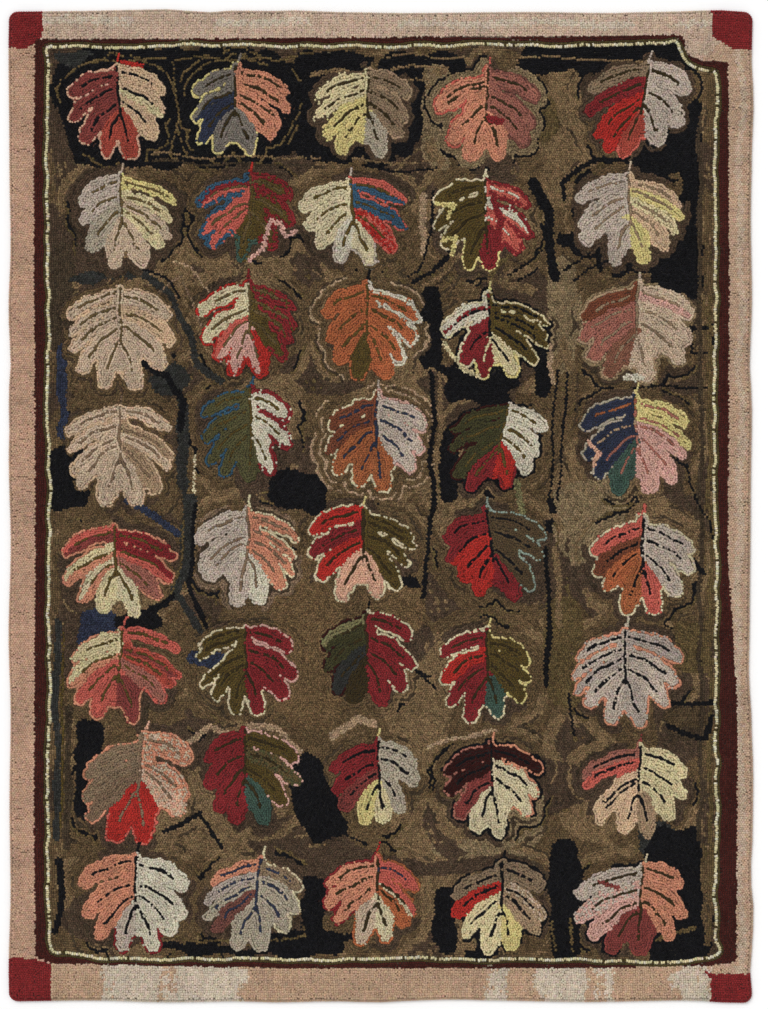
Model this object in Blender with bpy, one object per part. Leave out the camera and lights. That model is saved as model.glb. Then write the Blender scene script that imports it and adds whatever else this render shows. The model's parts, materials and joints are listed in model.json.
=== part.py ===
"""A hand-hooked wool rug lying flat on the floor.

The rug is one piece of cloth: a burlap foundation filled with short loops, whose own hem is turned
under and hooked over, so it is one solid. Metres, +Z up. The rug lies on the plane z = 0 with its
length along Y, and the origin is the middle of its underside.
"""

from collections import namedtuple

import bpy
import numpy as np

# Driving dimensions.
WIDTH = 1.069
LENGTH = 1.426
PILE_TOP = 0.0088
CORNER_RADIUS = 0.014

# The rolled rim: loops lean out over the edge of the foundation and hide it.
ROLL_DEPTH = 0.0055
ROLL_MIDDLE = 0.0032
ROLL_STEPS = 4
UNDERSIDE_INSET = 0.0018

# The loops were pulled by hand, so the surface rises and falls a little.
LUMP_HEIGHT = 0.0006
LUMP_ROOM = 0.030
Lump = namedtuple("Lump", "along_x along_y turn share")
LUMPS = (
    Lump(along_x=17.0, along_y=9.0, turn=0.4, share=0.40),
    Lump(along_x=-8.0, along_y=21.0, turn=1.9, share=0.35),
    Lump(along_x=31.0, along_y=-26.0, turn=4.2, share=0.25),
)

# Grid spacing between the corners.
GRID_SPACING = 0.031

# How far each edge strays outwards from its straight line, in millimetres. A place is a share of
# the edge, from the left end of an edge along X and from the near end of an edge along Y.
Stray = namedtuple("Stray", "place out_mm")
LEFT_EDGE = (
    Stray(0.00, 0.6),
    Stray(0.03, 1.4),
    Stray(0.11, -1.4),
    Stray(0.20, 0.0),
    Stray(0.29, -1.5),
    Stray(0.37, 1.4),
    Stray(0.46, -1.6),
    Stray(0.55, 1.2),
    Stray(0.58, 0.2),
    Stray(0.61, 1.5),
    Stray(0.64, -1.5),
    Stray(0.70, 1.5),
    Stray(0.76, -1.5),
    Stray(0.85, 0.2),
    Stray(0.97, 1.4),
    Stray(1.00, 0.8),
)
RIGHT_EDGE = (
    Stray(0.00, 2.0),
    Stray(0.03, -1.6),
    Stray(0.05, 0.8),
    Stray(0.09, 3.4),
    Stray(0.13, -0.8),
    Stray(0.17, 2.0),
    Stray(0.23, 2.8),
    Stray(0.28, 0.6),
    Stray(0.335, -3.4),
    Stray(0.38, -2.2),
    Stray(0.50, -0.8),
    Stray(0.607, 1.0),
    Stray(0.637, -2.2),
    Stray(0.71, 1.0),
    Stray(0.79, -0.8),
    Stray(0.85, 0.6),
    Stray(0.91, 3.4),
    Stray(0.95, 0.6),
    Stray(1.00, 2.0),
)
NEAR_EDGE = (
    Stray(0.00, 0.0),
    Stray(0.11, -1.4),
    Stray(0.21, 1.4),
    Stray(0.31, 0.0),
    Stray(0.36, 1.5),
    Stray(0.43, 0.0),
    Stray(0.50, 1.4),
    Stray(0.55, -1.4),
    Stray(0.60, -2.8),
    Stray(0.65, -1.2),
    Stray(0.77, 1.0),
    Stray(0.91, -1.4),
    Stray(0.98, 2.6),
    Stray(1.00, 1.0),
)
FAR_EDGE = (
    Stray(0.00, 0.0),
    Stray(0.09, 0.8),
    Stray(0.16, 2.2),
    Stray(0.21, 3.4),
    Stray(0.27, -0.8),
    Stray(0.31, 2.0),
    Stray(0.345, 0.6),
    Stray(0.38, 2.0),
    Stray(0.45, -0.8),
    Stray(0.53, -2.0),
    Stray(0.70, -0.6),
    Stray(0.81, -2.0),
    Stray(0.86, -0.6),
    Stray(0.96, 2.0),
    Stray(1.00, -1.0),
)

# The overall look of the hooked wool: olive brown, quite matt.
WOOL_COLOUR = (0.150, 0.105, 0.060, 1.0)
WOOL_ROUGHNESS = 0.92

MILLIMETRE = 0.001


def clear_scene():
    """Removes every object, so that only the rug is left."""
    for old in list(bpy.data.objects):
        bpy.data.objects.remove(old, do_unlink=True)


def stray_along(edge, places):
    """How far the edge stands out at these places: an eased step from each row of its table to the next."""
    stops = np.array([row.place for row in edge])
    outs = np.array([row.out_mm for row in edge]) * MILLIMETRE
    row = np.clip(np.searchsorted(stops, places, side="right") - 1, 0, len(stops) - 2)
    part = (places - stops[row]) / (stops[row + 1] - stops[row])
    eased = part * part * (3 - 2 * part)
    return outs[row] + (outs[row + 1] - outs[row]) * eased


def rim_insets():
    """How far in from the edge each line of the rolled rim lies: a quarter of an ellipse."""
    angles = np.linspace(0.0, np.pi / 2, ROLL_STEPS + 1)
    return ROLL_DEPTH * (1 - np.cos(angles))


def grid_lines(size):
    """Places across the rug from 0 to size: fine in both rims, then even between the corners."""
    rim = rim_insets()
    count = round((size - 2 * CORNER_RADIUS) / GRID_SPACING)
    middle = np.linspace(CORNER_RADIUS, size - CORNER_RADIUS, count + 1)
    return np.concatenate([rim, middle, size - rim[::-1]])


def round_corners(x, y):
    """Turns each corner's square into a quarter disc.

    With x and y as shares of the radius, x becomes x times the root of (1 - y * y / 2), and y likewise.
    """
    in_x = np.clip((np.abs(x - WIDTH / 2) - (WIDTH / 2 - CORNER_RADIUS)) / CORNER_RADIUS, 0, 1)
    in_y = np.clip((np.abs(y - LENGTH / 2) - (LENGTH / 2 - CORNER_RADIUS)) / CORNER_RADIUS, 0, 1)
    pull_x = CORNER_RADIUS * in_x * (1 - np.sqrt(1 - in_y * in_y / 2))
    pull_y = CORNER_RADIUS * in_y * (1 - np.sqrt(1 - in_x * in_x / 2))
    return x - np.sign(x - WIDTH / 2) * pull_x, y - np.sign(y - LENGTH / 2) * pull_y


def lie_of_the_cloth(x, y):
    """Moves the straight grid so that its four sides follow the stray of the four edges."""
    across = x / WIDTH
    along = y / LENGTH
    left = stray_along(LEFT_EDGE, along)
    right = stray_along(RIGHT_EDGE, along)
    near = stray_along(NEAR_EDGE, across)
    far = stray_along(FAR_EDGE, across)
    return x - left * (1 - across) + right * across, y - near * (1 - along) + far * along


def top_height(x, y):
    """Height of the loops: an elliptical roll at the rim, then a level pile with gentle lumps."""
    inset = np.minimum(np.minimum(x, WIDTH - x), np.minimum(y, LENGTH - y))
    share = np.clip(1 - inset / ROLL_DEPTH, 0, 1)
    roll = np.sqrt(1 - share * share)
    lumps = sum(l.share * np.sin(l.along_x * x + l.along_y * y + l.turn) for l in LUMPS)
    swell = LUMP_HEIGHT * (lumps - 1) * np.clip((inset - ROLL_DEPTH) / LUMP_ROOM, 0, 1)
    return ROLL_MIDDLE + (PILE_TOP - ROLL_MIDDLE) * roll + swell


def rug_mesh():
    """The rug's closed skin: the hooked top, the rolled rim and the flat underside."""
    lines_x = grid_lines(WIDTH)
    lines_y = grid_lines(LENGTH)
    flat_x, flat_y = np.meshgrid(lines_x, lines_y)
    heights = top_height(flat_x, flat_y)
    places = lie_of_the_cloth(*round_corners(flat_x, flat_y))
    x, y = places[0], places[1]
    x = x - (x.min() + x.max()) / 2
    y = y - (y.min() + y.max()) / 2
    rows, columns = x.shape

    numbers = np.arange(rows * columns).reshape(rows, columns)
    quads = np.stack(
        [numbers[:-1, :-1], numbers[:-1, 1:], numbers[1:, 1:], numbers[1:, :-1]], axis=-1
    ).reshape(-1, 4)

    # The rim's outermost line, once round, anticlockwise from above.
    edge = np.concatenate(
        [numbers[0, :-1], numbers[:-1, -1], numbers[-1, :0:-1], numbers[:0:-1, 0]]
    )
    top = np.stack([x.ravel(), y.ravel(), heights.ravel()], axis=1)

    # Each underside point lies a little in from its edge point, square to the edge.
    ring = top[edge, :2]
    along = np.roll(ring, -1, axis=0) - np.roll(ring, 1, axis=0)
    inwards = np.stack([-along[:, 1], along[:, 0]], axis=1)
    inwards /= np.linalg.norm(inwards, axis=1, keepdims=True)
    under = np.zeros((len(edge), 3))
    under[:, :2] = ring + inwards * UNDERSIDE_INSET

    below = np.arange(len(edge)) + rows * columns
    sides = np.stack([below, np.roll(below, -1), np.roll(edge, -1), edge], axis=1)
    faces = quads.tolist() + sides.tolist() + [below[::-1].tolist()]

    mesh = bpy.data.meshes.new("rug")
    mesh.from_pydata(np.concatenate([top, under]).tolist(), [], faces)
    mesh.validate()
    return mesh


def wool_material():
    """Hooked wool seen as a whole: one olive brown, with the soft sheen of wool."""
    wool = bpy.data.materials.new("hooked wool")
    wool.use_nodes = True
    shader = wool.node_tree.nodes["Principled BSDF"]
    shader.inputs["Base Color"].default_value = WOOL_COLOUR
    shader.inputs["Roughness"].default_value = WOOL_ROUGHNESS
    shader.inputs["Metallic"].default_value = 0.0
    shader.inputs["Sheen Weight"].default_value = 0.25
    wool.diffuse_color = WOOL_COLOUR
    return wool


def make_rug():
    """The one object: the whole rug, smooth where it rolls and flat underneath."""
    rug = bpy.data.objects.new("rug", rug_mesh())
    rug.data.materials.append(wool_material())
    rug.data.shade_smooth()
    rug.data.set_sharp_from_angle(angle=np.radians(50))
    bpy.context.scene.collection.objects.link(rug)
    return rug


clear_scene()
make_rug()
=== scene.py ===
# %% [markdown]
# # A hand-hooked wool rug with forty leaves
# The real rug starts as a plain piece of burlap. The maker pulls narrow strips of wool up through
# the weave with a hook, one loop at a time, and works in rows: first round each leaf, then along
# its veins, then the ground round it. So the pattern is not printed on a surface. It is made of
# well over a hundred thousand small loops, each of one colour, and this script lays them all.
#
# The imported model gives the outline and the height. All tables here are in millimetres, with x to
# the right, y up the photo and the rug's middle at 0, because a maker would chart the rug so.

# %% The frame
import json
from collections import namedtuple

import bpy
import numpy as np
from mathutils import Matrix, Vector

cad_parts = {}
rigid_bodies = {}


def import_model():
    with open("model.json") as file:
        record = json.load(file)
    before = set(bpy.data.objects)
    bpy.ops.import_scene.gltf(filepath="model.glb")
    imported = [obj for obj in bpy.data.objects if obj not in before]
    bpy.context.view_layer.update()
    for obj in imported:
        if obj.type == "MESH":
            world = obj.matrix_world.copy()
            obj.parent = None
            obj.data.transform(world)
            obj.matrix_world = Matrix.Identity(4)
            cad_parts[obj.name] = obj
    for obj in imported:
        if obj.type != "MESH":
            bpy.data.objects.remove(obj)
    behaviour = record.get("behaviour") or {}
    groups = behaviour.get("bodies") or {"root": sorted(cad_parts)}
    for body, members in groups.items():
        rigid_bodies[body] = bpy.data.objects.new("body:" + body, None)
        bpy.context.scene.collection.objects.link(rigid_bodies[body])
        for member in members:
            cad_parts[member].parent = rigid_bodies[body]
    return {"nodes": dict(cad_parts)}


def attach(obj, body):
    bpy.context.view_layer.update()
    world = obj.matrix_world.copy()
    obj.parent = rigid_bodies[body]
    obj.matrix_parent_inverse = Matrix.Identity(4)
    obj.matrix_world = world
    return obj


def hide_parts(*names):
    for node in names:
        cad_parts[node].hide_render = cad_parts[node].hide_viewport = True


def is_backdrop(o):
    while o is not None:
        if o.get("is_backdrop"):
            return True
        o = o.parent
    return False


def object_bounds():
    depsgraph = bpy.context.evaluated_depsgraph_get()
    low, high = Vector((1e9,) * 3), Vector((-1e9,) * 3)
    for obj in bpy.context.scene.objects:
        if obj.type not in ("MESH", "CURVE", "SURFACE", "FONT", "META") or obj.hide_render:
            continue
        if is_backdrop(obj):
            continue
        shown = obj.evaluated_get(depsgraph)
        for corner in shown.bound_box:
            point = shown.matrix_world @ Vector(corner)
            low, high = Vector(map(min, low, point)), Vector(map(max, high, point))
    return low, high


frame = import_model()
rug_node = frame["nodes"]["rug"]
cad_low, cad_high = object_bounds()
rug_size = [round(1000 * (high - low), 1) for low, high in zip(cad_low, cad_high)]
print("rug in the frame, mm:", rug_size)

MM = 0.001
ROW = 3.3
PILE_TOP = cad_high[2] / MM

# %% [markdown]
# # The outline
# A hooked rug is never quite straight: each side strays by a few millimetres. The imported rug
# already has that stray in its outermost ring of points, so the loops take it from there. Each
# side becomes a line of places, and `inset` says how far any point lies in from the edge.

# %% The four sides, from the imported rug
points = np.empty(len(rug_node.data.vertices) * 3)
rug_node.data.vertices.foreach_get("co", points)
points = points.reshape(-1, 3) / MM
RIM_HEIGHT = 3.2
CORNER_ROUND = 14.0
SIDE_DEEP = 12
HALF_WIDE = (cad_high[0] - cad_low[0]) / 2 / MM
HALF_LONG = (cad_high[1] - cad_low[1]) / 2 / MM
rim_points = points[np.abs(points[:, 2] - RIM_HEIGHT) < 0.1]


def side_line(across, sign, half_across, half_along):
    """One side as (places along it, how far out it stands), from the rim points nearest to it.
    Points that share a place count once."""
    out = rim_points[:, across] * sign
    along = rim_points[:, 1 - across]
    mine = (out > half_across - SIDE_DEEP) & (np.abs(along) < half_along - CORNER_ROUND)
    places, first = np.unique(along[mine].round(1), return_index=True)
    return places, out[mine][first]


LEFT = side_line(0, -1, HALF_WIDE, HALF_LONG)
RIGHT = side_line(0, 1, HALF_WIDE, HALF_LONG)
NEAR = side_line(1, -1, HALF_LONG, HALF_WIDE)
FAR = side_line(1, 1, HALF_LONG, HALF_WIDE)


def inset(x, y):
    """How far in from the rug's edge a point lies: the least of the four sides, with the corners
    rounded by measuring from the middle of the corner's circle instead."""
    in_x = np.minimum(x + np.interp(y, *LEFT), np.interp(y, *RIGHT) - x)
    in_y = np.minimum(y + np.interp(x, *NEAR), np.interp(x, *FAR) - y)
    corner = (in_x < CORNER_ROUND) & (in_y < CORNER_ROUND)
    round_in = CORNER_ROUND - np.hypot(CORNER_ROUND - in_x, CORNER_ROUND - in_y)
    return np.where(corner, round_in, np.minimum(in_x, in_y))


print("points on the rim:", len(rim_points), "- on the left side:", len(LEFT[0]))

# %% [markdown]
# # The yarns
# The wool came out of a rag bag: old coats and blankets, some dyed at home. So the reds differ
# from leaf to leaf and nothing is quite white. Each yarn is named and given as the red, green and
# blue that the eye sees in daylight, from 0 to 255. The shader wants light as amounts, so each is
# turned linear. The hollows between the loops swallow some light, and `LIFT` gives it back.

# %% The yarn basket
YARN_BASKET = """
ink 24 24 26, navy 44 48 62, slate 46 46 44, blue 50 75 93, teal 58 75 66, spruce 58 56 37,
green 73 70 47, olive 76 63 35, dark-olive 50 42 28, moss 86 72 48, sage 105 100 70,
aqua 120 130 118, brown 73 60 44, rust 148 86 56, dusty-rust 112 76 61, brick 101 60 44,
orange 136 82 53, salmon 170 117 93, shell 178 140 118, coral 162 83 72, coral-red 140 65 54,
red 147 44 39, crimson 110 39 41, maroon 46 25 24, rose 112 56 52, mauve-rose 102 66 58,
old-rose 134 87 75, pink 174 137 125, blush 161 148 135, lilac 148 136 126, mauve 108 101 93,
dove 148 138 121, taupe 118 100 80, stone 109 90 72, beige 167 148 127, tan 140 118 94,
ecru 173 148 121, butter 177 165 130, lemon 178 165 112, cream 175 164 135, white 174 167 149,
bark 69 56 45, earth 86 70 50, nut 97 78 55, sand 107 88 64, khaki 113 97 73, shade 62 52 41,
left 166 136 115, far 172 151 133, right 163 138 117, right-stripe 168 149 130, near 164 138 115,
near-pale 177 164 147, corner 113 39 40, band 61 31 28, line-olive 66 57 35,
line-cream 182 172 136, line-pale 188 182 160
"""
YARNS = {name: list(map(int, shade)) for name, *shade in map(str.split, YARN_BASKET.split(","))}
NAMES = list(YARNS)
LIFT, HAZE = 1.28, 0.004


def linear(shade):
    """Turns a seen value from 0 to 1 into light: a straight foot, then the power 2.4."""
    return np.where(shade <= 0.04045, shade / 12.92, ((shade + 0.055) / 1.055) ** 2.4)


YARN_LIGHT = (linear(np.array([YARNS[name] for name in NAMES]) / 255) - HAZE).clip(0.001) * LIFT
NUMBER = {name: number for number, name in enumerate(NAMES)}
print("yarns in the basket:", len(NAMES))

# %% [markdown]
# # Chance, kept in hand
# Dye takes unevenly and a hand wanders. `drift` gives a smooth wander over the rug, and every draw
# has its own seed, so that the rug comes out the same each time.


# %% A smooth wander
def drift(x, y, room, seed):
    """A smooth value from about -1 to 1: eight sine waves across the rug, each with its own
    direction, start and length near `room`, added and scaled."""
    random = np.random.default_rng(seed)
    total = np.zeros(np.shape(x))
    for turn, start, stretch in random.uniform((0, 0, 0.7), (6.283, 6.283, 1.6), (8, 3)):
        along = x * np.cos(turn) + y * np.sin(turn)
        total = total + np.sin(6.283 * along / (room * stretch) + start)
    return np.clip(total / 3.0, -1, 1)


print("wander at the middle:", round(float(drift(0.0, 0.0, 200.0, 1)), 3))

# %% [markdown]
# # The chart of the leaves
# Forty leaves stand in eight rows of five. They share one plan: a midrib from the stem down to the
# middle, lobes that arch out and droop on both sides, and one to three lobes at the foot. What
# changes is the size, the number of lobes and the wool. So the chart has an entry of two lines
# for each leaf, with bars between its fields. First come six numbers: its middle, width and
# height, how far the midrib stands off the middle, and the lean. Then come its yarns, lobe by
# lobe: the left side from the top down, the foot from left to right, and on the second line the
# right side from the top down. The number of yarns is the number of lobes. The veins, the edges,
# the stem and the echoes end the entry.
#
# A yarn can be written `upper/lower` for a lobe worked in two, `one+other` for a mixture, and
# `yarn:vein` for a lobe with a vein of its own. Edges are the outermost row on the left, the foot
# and the right, or - where the lobe's own wool runs to the edge; `yarn*3` makes the edge three
# rows wide. Echoes are rows round the leaf, from the nearest one outwards.

# %% The chart
Leaf = namedtuple("Leaf", "x y wide high rib lean left foot right veins edges stem echo")
LEAF_CHART = """
-379 568 148 143 3 9 | rose rose rose | coral-red coral-red
  ecru ecru/butter ecru | ink | shell shell - | red | ink ink ink moss ink ink
-205 569 148 144 -6 -7 | mauve mauve/navy navy | mauve mauve
  salmon salmon salmon salmon | dark-olive | lemon lemon - | mauve | ink ink ink moss ink ink moss ink
-28 566 148 138 9 0 | butter butter lemon | lemon dove
  taupe taupe taupe | dark-olive | bark - tan | ink | bark bark ink ink
154 564 158 147 -1 0 | salmon salmon salmon | salmon salmon
  old-rose old-rose old-rose | dark-olive | coral - mauve-rose | coral | khaki khaki khaki ink
369 573 151 144 8 -18 | taupe crimson red red | coral-red
  blush blush blush | dark-olive | - coral - | blush | bark bark
-364 411 144 143 -10 0 | blush blush dove | beige beige
  lemon butter beige butter | moss | - - - | beige | bark bark bark shade
-195 418 151 130 6 0 | crimson/coral coral coral | olive
  olive olive olive | moss | blue*2 teal*2 crimson*3 | red |
-37 410 158 131 -3 10 | cream cream cream | white cream
  coral/blue blue red+coral | olive | - blush coral | blush |
145 405 153 137 6 6 | olive olive olive | olive crimson
  coral:white white/coral:white coral:white | dark-olive | cream lemon crimson*2 | cream |
355 414 157 140 2 0 | blush blush blush | blush lemon
  ecru lemon butter ecru | taupe | - - - | beige | bark bark bark ink ink
-374 243 157 156 -1 0 | beige beige beige beige | beige beige
  beige ecru beige | moss | ecru ecru ecru | moss | earth earth bark
-192 256 147 147 3 6 | cream cream coral/pink | pink red/pink
  olive olive olive olive | moss | red red*2 crimson*2 | crimson | shade
-15 252 143 153 -5 0 | rust rust rust | olive rust
  rust rust rust | olive | rust rust white*2 | ink | earth earth earth tan shade
166 244 153 134 -10 6 | white:crimson crimson/white crimson | crimson:butter butter
  olive olive olive olive | ink | cream lemon butter | lemon | ink
367 248 170 156 0 -4 | brick old-rose old-rose | dusty-rust beige
  beige/pink beige beige | taupe | tan tan beige | beige | khaki
-375 72 163 156 -1 0 | beige beige beige beige | beige beige
  beige tan beige tan | stone | ecru ecru ecru | stone | earth
-194 104 141 144 6 0 | green green green green | green
  white white white | olive | blue green crimson*2 | blue |
-7 93 153 154 0 0 | brick brick orange | orange orange
  blush blush blush | navy | cream cream pink | dove | earth earth tan earth earth tan
164 85 145 135 8 -24 | spruce spruce spruce | crimson red
  white white white | olive | maroon crimson - |  | ink
366 89 164 153 1 0 | navy:orange navy:tan navy | teal pink
  lemon lemon pink pink | old-rose | dove - - | lemon |
-377 -91 171 140 -5 0 | coral/rose butter/salmon cream/salmon | butter cream
  crimson crimson/coral old-rose | olive | salmon butter salmon |  |
-192 -71 154 153 1 0 | blush blush blush | blush white
  salmon salmon salmon salmon | stone | - - cream | cream | shade stone stone
-30 -68 163 147 5 0 | red crimson red | shell shell
  olive olive olive olive | dark-olive | cream cream cream | lemon |
166 -69 153 141 -7 14 | crimson crimson/red red | red crimson
  brown brown brown | ink | - - aqua | aqua |
377 -84 154 154 -1 0 | coral brick rust | orange coral
  blush blush blush | ink | cream cream cream | coral |
-369 -243 166 145 -8 -14 | butter butter/salmon coral | coral rose
  coral coral-red/rose coral-red old-rose | olive | salmon salmon coral | coral |
-194 -234 153 134 0 0 | olive olive olive olive | olive crimson
  crimson crimson crimson | dark-olive | cream cream pink |  |
-17 -220 143 147 -4 0 | sage/spruce spruce slate | dark-olive crimson
  crimson crimson crimson | dark-olive | maroon - cream | ink |
150 -243 141 141 3 0 | crimson red crimson | crimson teal
  olive olive olive | dark-olive | cream cream lemon | lemon |
354 -246 164 151 -3 0 | blush blush lilac blush | blush lilac
  lilac blush blush | ink | salmon salmon salmon | dove |
-350 -405 168 171 0 -22 | taupe taupe stone | red red
  salmon+beige salmon+beige shell+beige | stone | salmon coral salmon | shell |
-185 -390 140 151 -11 0 | crimson crimson crimson | crimson teal
  olive moss+green olive | dark-olive | - - pink |  |
-9 -396 131 132 5 0 | crimson crimson rose | lemon butter
  dove dove dove | ink | - - - | lemon |
159 -406 148 144 1 0 | maroon maroon rose | cream cream
  maroon cream cream | ink | old-rose - salmon | salmon | ink
366 -408 151 141 6 0 | old-rose coral ecru ecru | ecru tan
  butter butter butter | ink | - - - | rose |
-354 -572 166 153 1 0 | salmon salmon salmon | blush white
  white white white | ink | - crimson - | ink |
-184 -571 145 143 4 -18 | salmon lilac dove mauve-rose | dove dove
  taupe dove dove | navy | - - cream | cream |
-14 -565 143 143 9 0 | salmon salmon salmon | beige cream
  coral:navy coral/cream rust | dark-olive | crimson rust orange | red |
169 -577 143 141 5 0 | taupe red butter | butter lemon
  taupe tan+beige tan | ink | - - - | ink | ink
359 -580 164 141 14 -8 | blush blush+pink pink | rose rose
  salmon salmon salmon | dark-olive | - - - | cream | ink
"""


def read_leaves(chart):
    """The leaves of a chart: its lines two by two, cut at the bars into numbers and words."""
    lines = [line.split("|") for line in chart.strip().splitlines()]
    leaves = []
    for first, second in zip(lines[::2], lines[1::2]):
        numbers, *words = [field.strip() for field in first + second]
        leaves.append(Leaf(*map(int, numbers.split()), *words))
    return leaves


LEAVES = read_leaves(LEAF_CHART)
print("leaves:", len(LEAVES))

# %% [markdown]
# # One leaf, lobe by lobe
# A lobe is a finger round a bent centre line. The line starts on the midrib, leaves it sideways
# and droops towards its tip. The tips stand round an egg. One to three of them share the foot,
# the rest are spread evenly up each side, and each leaf's own seed moves them a little, as a hand
# would. Leaves lean too: `lean` is how far the foot stands off from under the stem. A point
# belongs to the lobe whose line is nearest for that lobe's width, and lobes keep to their side.

# %% The line and the width of a lobe
BENDS = 9


def lobe_line(root, tip, lead):
    """The centre line from root to tip: a curve pulled towards a point that has gone `lead` of
    the way sideways and down, so that it leaves the midrib flat and droops."""
    t = np.linspace(0, 1, BENDS)[:, None]
    pull = root + (tip - root) * lead
    return (1 - t) ** 2 * root + 2 * t * (1 - t) * pull + t**2 * tip


def lobe_widths(width):
    """Half widths along the line: over half at the root, rising like a quarter wave to the full
    width at six tenths, then narrower at the tip."""
    t = np.linspace(0, 1, BENDS)
    return width * (0.62 + 0.38 * np.sin(np.pi / 2 * np.clip(t / 0.6, 0, 1)) - 0.34 * t**4)


print("half widths of a lobe 20 mm wide, mm:", lobe_widths(10.0).round(1).tolist())

# %% Where the tips stand
SHOULDER_ANGLE = 100
FOOT_ANGLES = {1: (-4,), 2: (-19, 16), 3: (-34, -2, 30)}
LOWEST_SIDE = {1: 34, 2: 50, 3: 60}


def tip_angles(leaf):
    """Angles of the tips from straight down, from the left shoulder round to the right one."""
    foot = FOOT_ANGLES[len(leaf.foot.split())]
    lowest = LOWEST_SIDE[len(foot)]
    sides = []
    for side in (leaf.left, leaf.right):
        count = len(side.split())
        spread = np.linspace(SHOULDER_ANGLE, lowest, count)
        sides.append(spread if count > 1 else np.array([(SHOULDER_ANGLE + lowest) / 2]))
    return np.concatenate([-sides[0], foot, sides[1][::-1]])


print("tips of the first leaf, degrees:", tip_angles(LEAVES[0]).round().tolist())

# %% All the lobes of a leaf
EGG_MIDDLE, EGG_FALL = 0.45, 0.56
ROOT_HIGH, ROOT_LOW = 0.13, 0.54
TIP_SHARE, TIP_MOST, TIP_BACK = 0.44, 0.124, 0.66
ANGLE_CHANCE, LENGTH_CHANCE, WIDTH_CHANCE = 4.0, (0.93, 1.03), (0.92, 1.08)
Lobe = namedtuple("Lobe", "part yarn line widths")


def lobes_of(leaf, seed):
    """All the lobes of a leaf, in millimetres from its middle. The angle of a tip counts from
    straight down: its place across is the sine, and its fall from the top is the egg's middle
    plus the cosine's share. The root stands on the midrib, higher for tips nearer the shoulder.
    The half width is a share of the way from tip to tip, and the line ends most of a half width
    short of the tip, which the round end fills."""
    random = np.random.default_rng(seed)
    wools = [("left", yarn) for yarn in leaf.left.split()]
    wools += [("foot", yarn) for yarn in leaf.foot.split()]
    wools += [("right", yarn) for yarn in leaf.right.split()[::-1]]
    angles = tip_angles(leaf)
    spacings = np.radians(np.gradient(angles)) * (leaf.wide + 1.1 * leaf.high) / 4
    lobes = []
    angles = angles + random.normal(0, ANGLE_CHANCE, len(wools))
    for (part, yarn), angle, spacing in zip(wools, angles, spacings):
        turn = np.radians(angle)
        fall = EGG_MIDDLE + EGG_FALL * np.cos(turn)
        tip = np.array([np.sin(turn) * leaf.wide / 2, leaf.high * (0.5 - fall)])
        share = abs(angle) / SHOULDER_ANGLE
        root_up = 0.5 - ROOT_LOW + (ROOT_LOW - ROOT_HIGH) * share**1.6
        root = np.array([leaf.rib, leaf.high * root_up])
        tip = root + (tip - root) * random.uniform(*LENGTH_CHANCE)
        width = min(TIP_SHARE * spacing, TIP_MOST * leaf.high) * random.uniform(*WIDTH_CHANCE)
        tip = tip + (root - tip) / np.linalg.norm(root - tip) * width * TIP_BACK
        lead = np.array([0.66, 0.40 - 0.18 * share])
        lobes.append(Lobe(part, yarn, lobe_line(root, tip, lead), lobe_widths(width)))
    return lobes


LOBES = [lobes_of(leaf, seed) for seed, leaf in enumerate(LEAVES)]
print("lobes in all:", sum(len(lobes) for lobes in LOBES))

# %% [markdown]
# To work in rows, the maker needs to know two distances at each point of a leaf: how deep it lies
# inside the outline, and how far it is from the nearest vein. Both come from the distance to the
# short straight pieces of the lobes' centre lines. A heart round the middle and a cone along the
# midrib hold the lobes together, and small wanders keep the outline and the veins from looking
# ruled.

# %% Distance to a straight piece
def to_segment(x, y, start, end):
    """Distance to a straight piece, the share along it of the nearest point, and the side."""
    run = end - start
    share = np.clip(((x - start[0]) * run[0] + (y - start[1]) * run[1]) / (run @ run), 0, 1)
    off_x, off_y = x - start[0] - share * run[0], y - start[1] - share * run[1]
    return np.hypot(off_x, off_y), share, run[0] * off_y - run[1] * off_x


sample = to_segment(np.array([3.0]), np.array([4.0]), np.zeros(2), np.array([0, 9]))
print("from (3, 4) to the piece from (0, 0) to (0, 9):", sample[0][0])

# %% How deep, and how far from a vein
VEIN_FROM, VEIN_TO = 0.07, 0.80
NOTCH_FILL = 1.3
HEART_WIDE, HEART_HIGH = 0.50, 0.27
WAVER, VEIN_WAVER, WOBBLE = 1.3, 0.8, 1.7
WAVER_ROOM, VEIN_ROOM, WOBBLE_ROOM = 14, 11, 38
CONE_TOP, CONE_GROWTH = 0.05, 0.21
RIB_TOP, RIB_LOW = 0.44, -0.07
STEM_RIGHT, STEM_UP = 4, 10
WRONG_SIDE = 5
LeafPlace = namedtuple("LeafPlace", "depth vein lobe upper stem")


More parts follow.
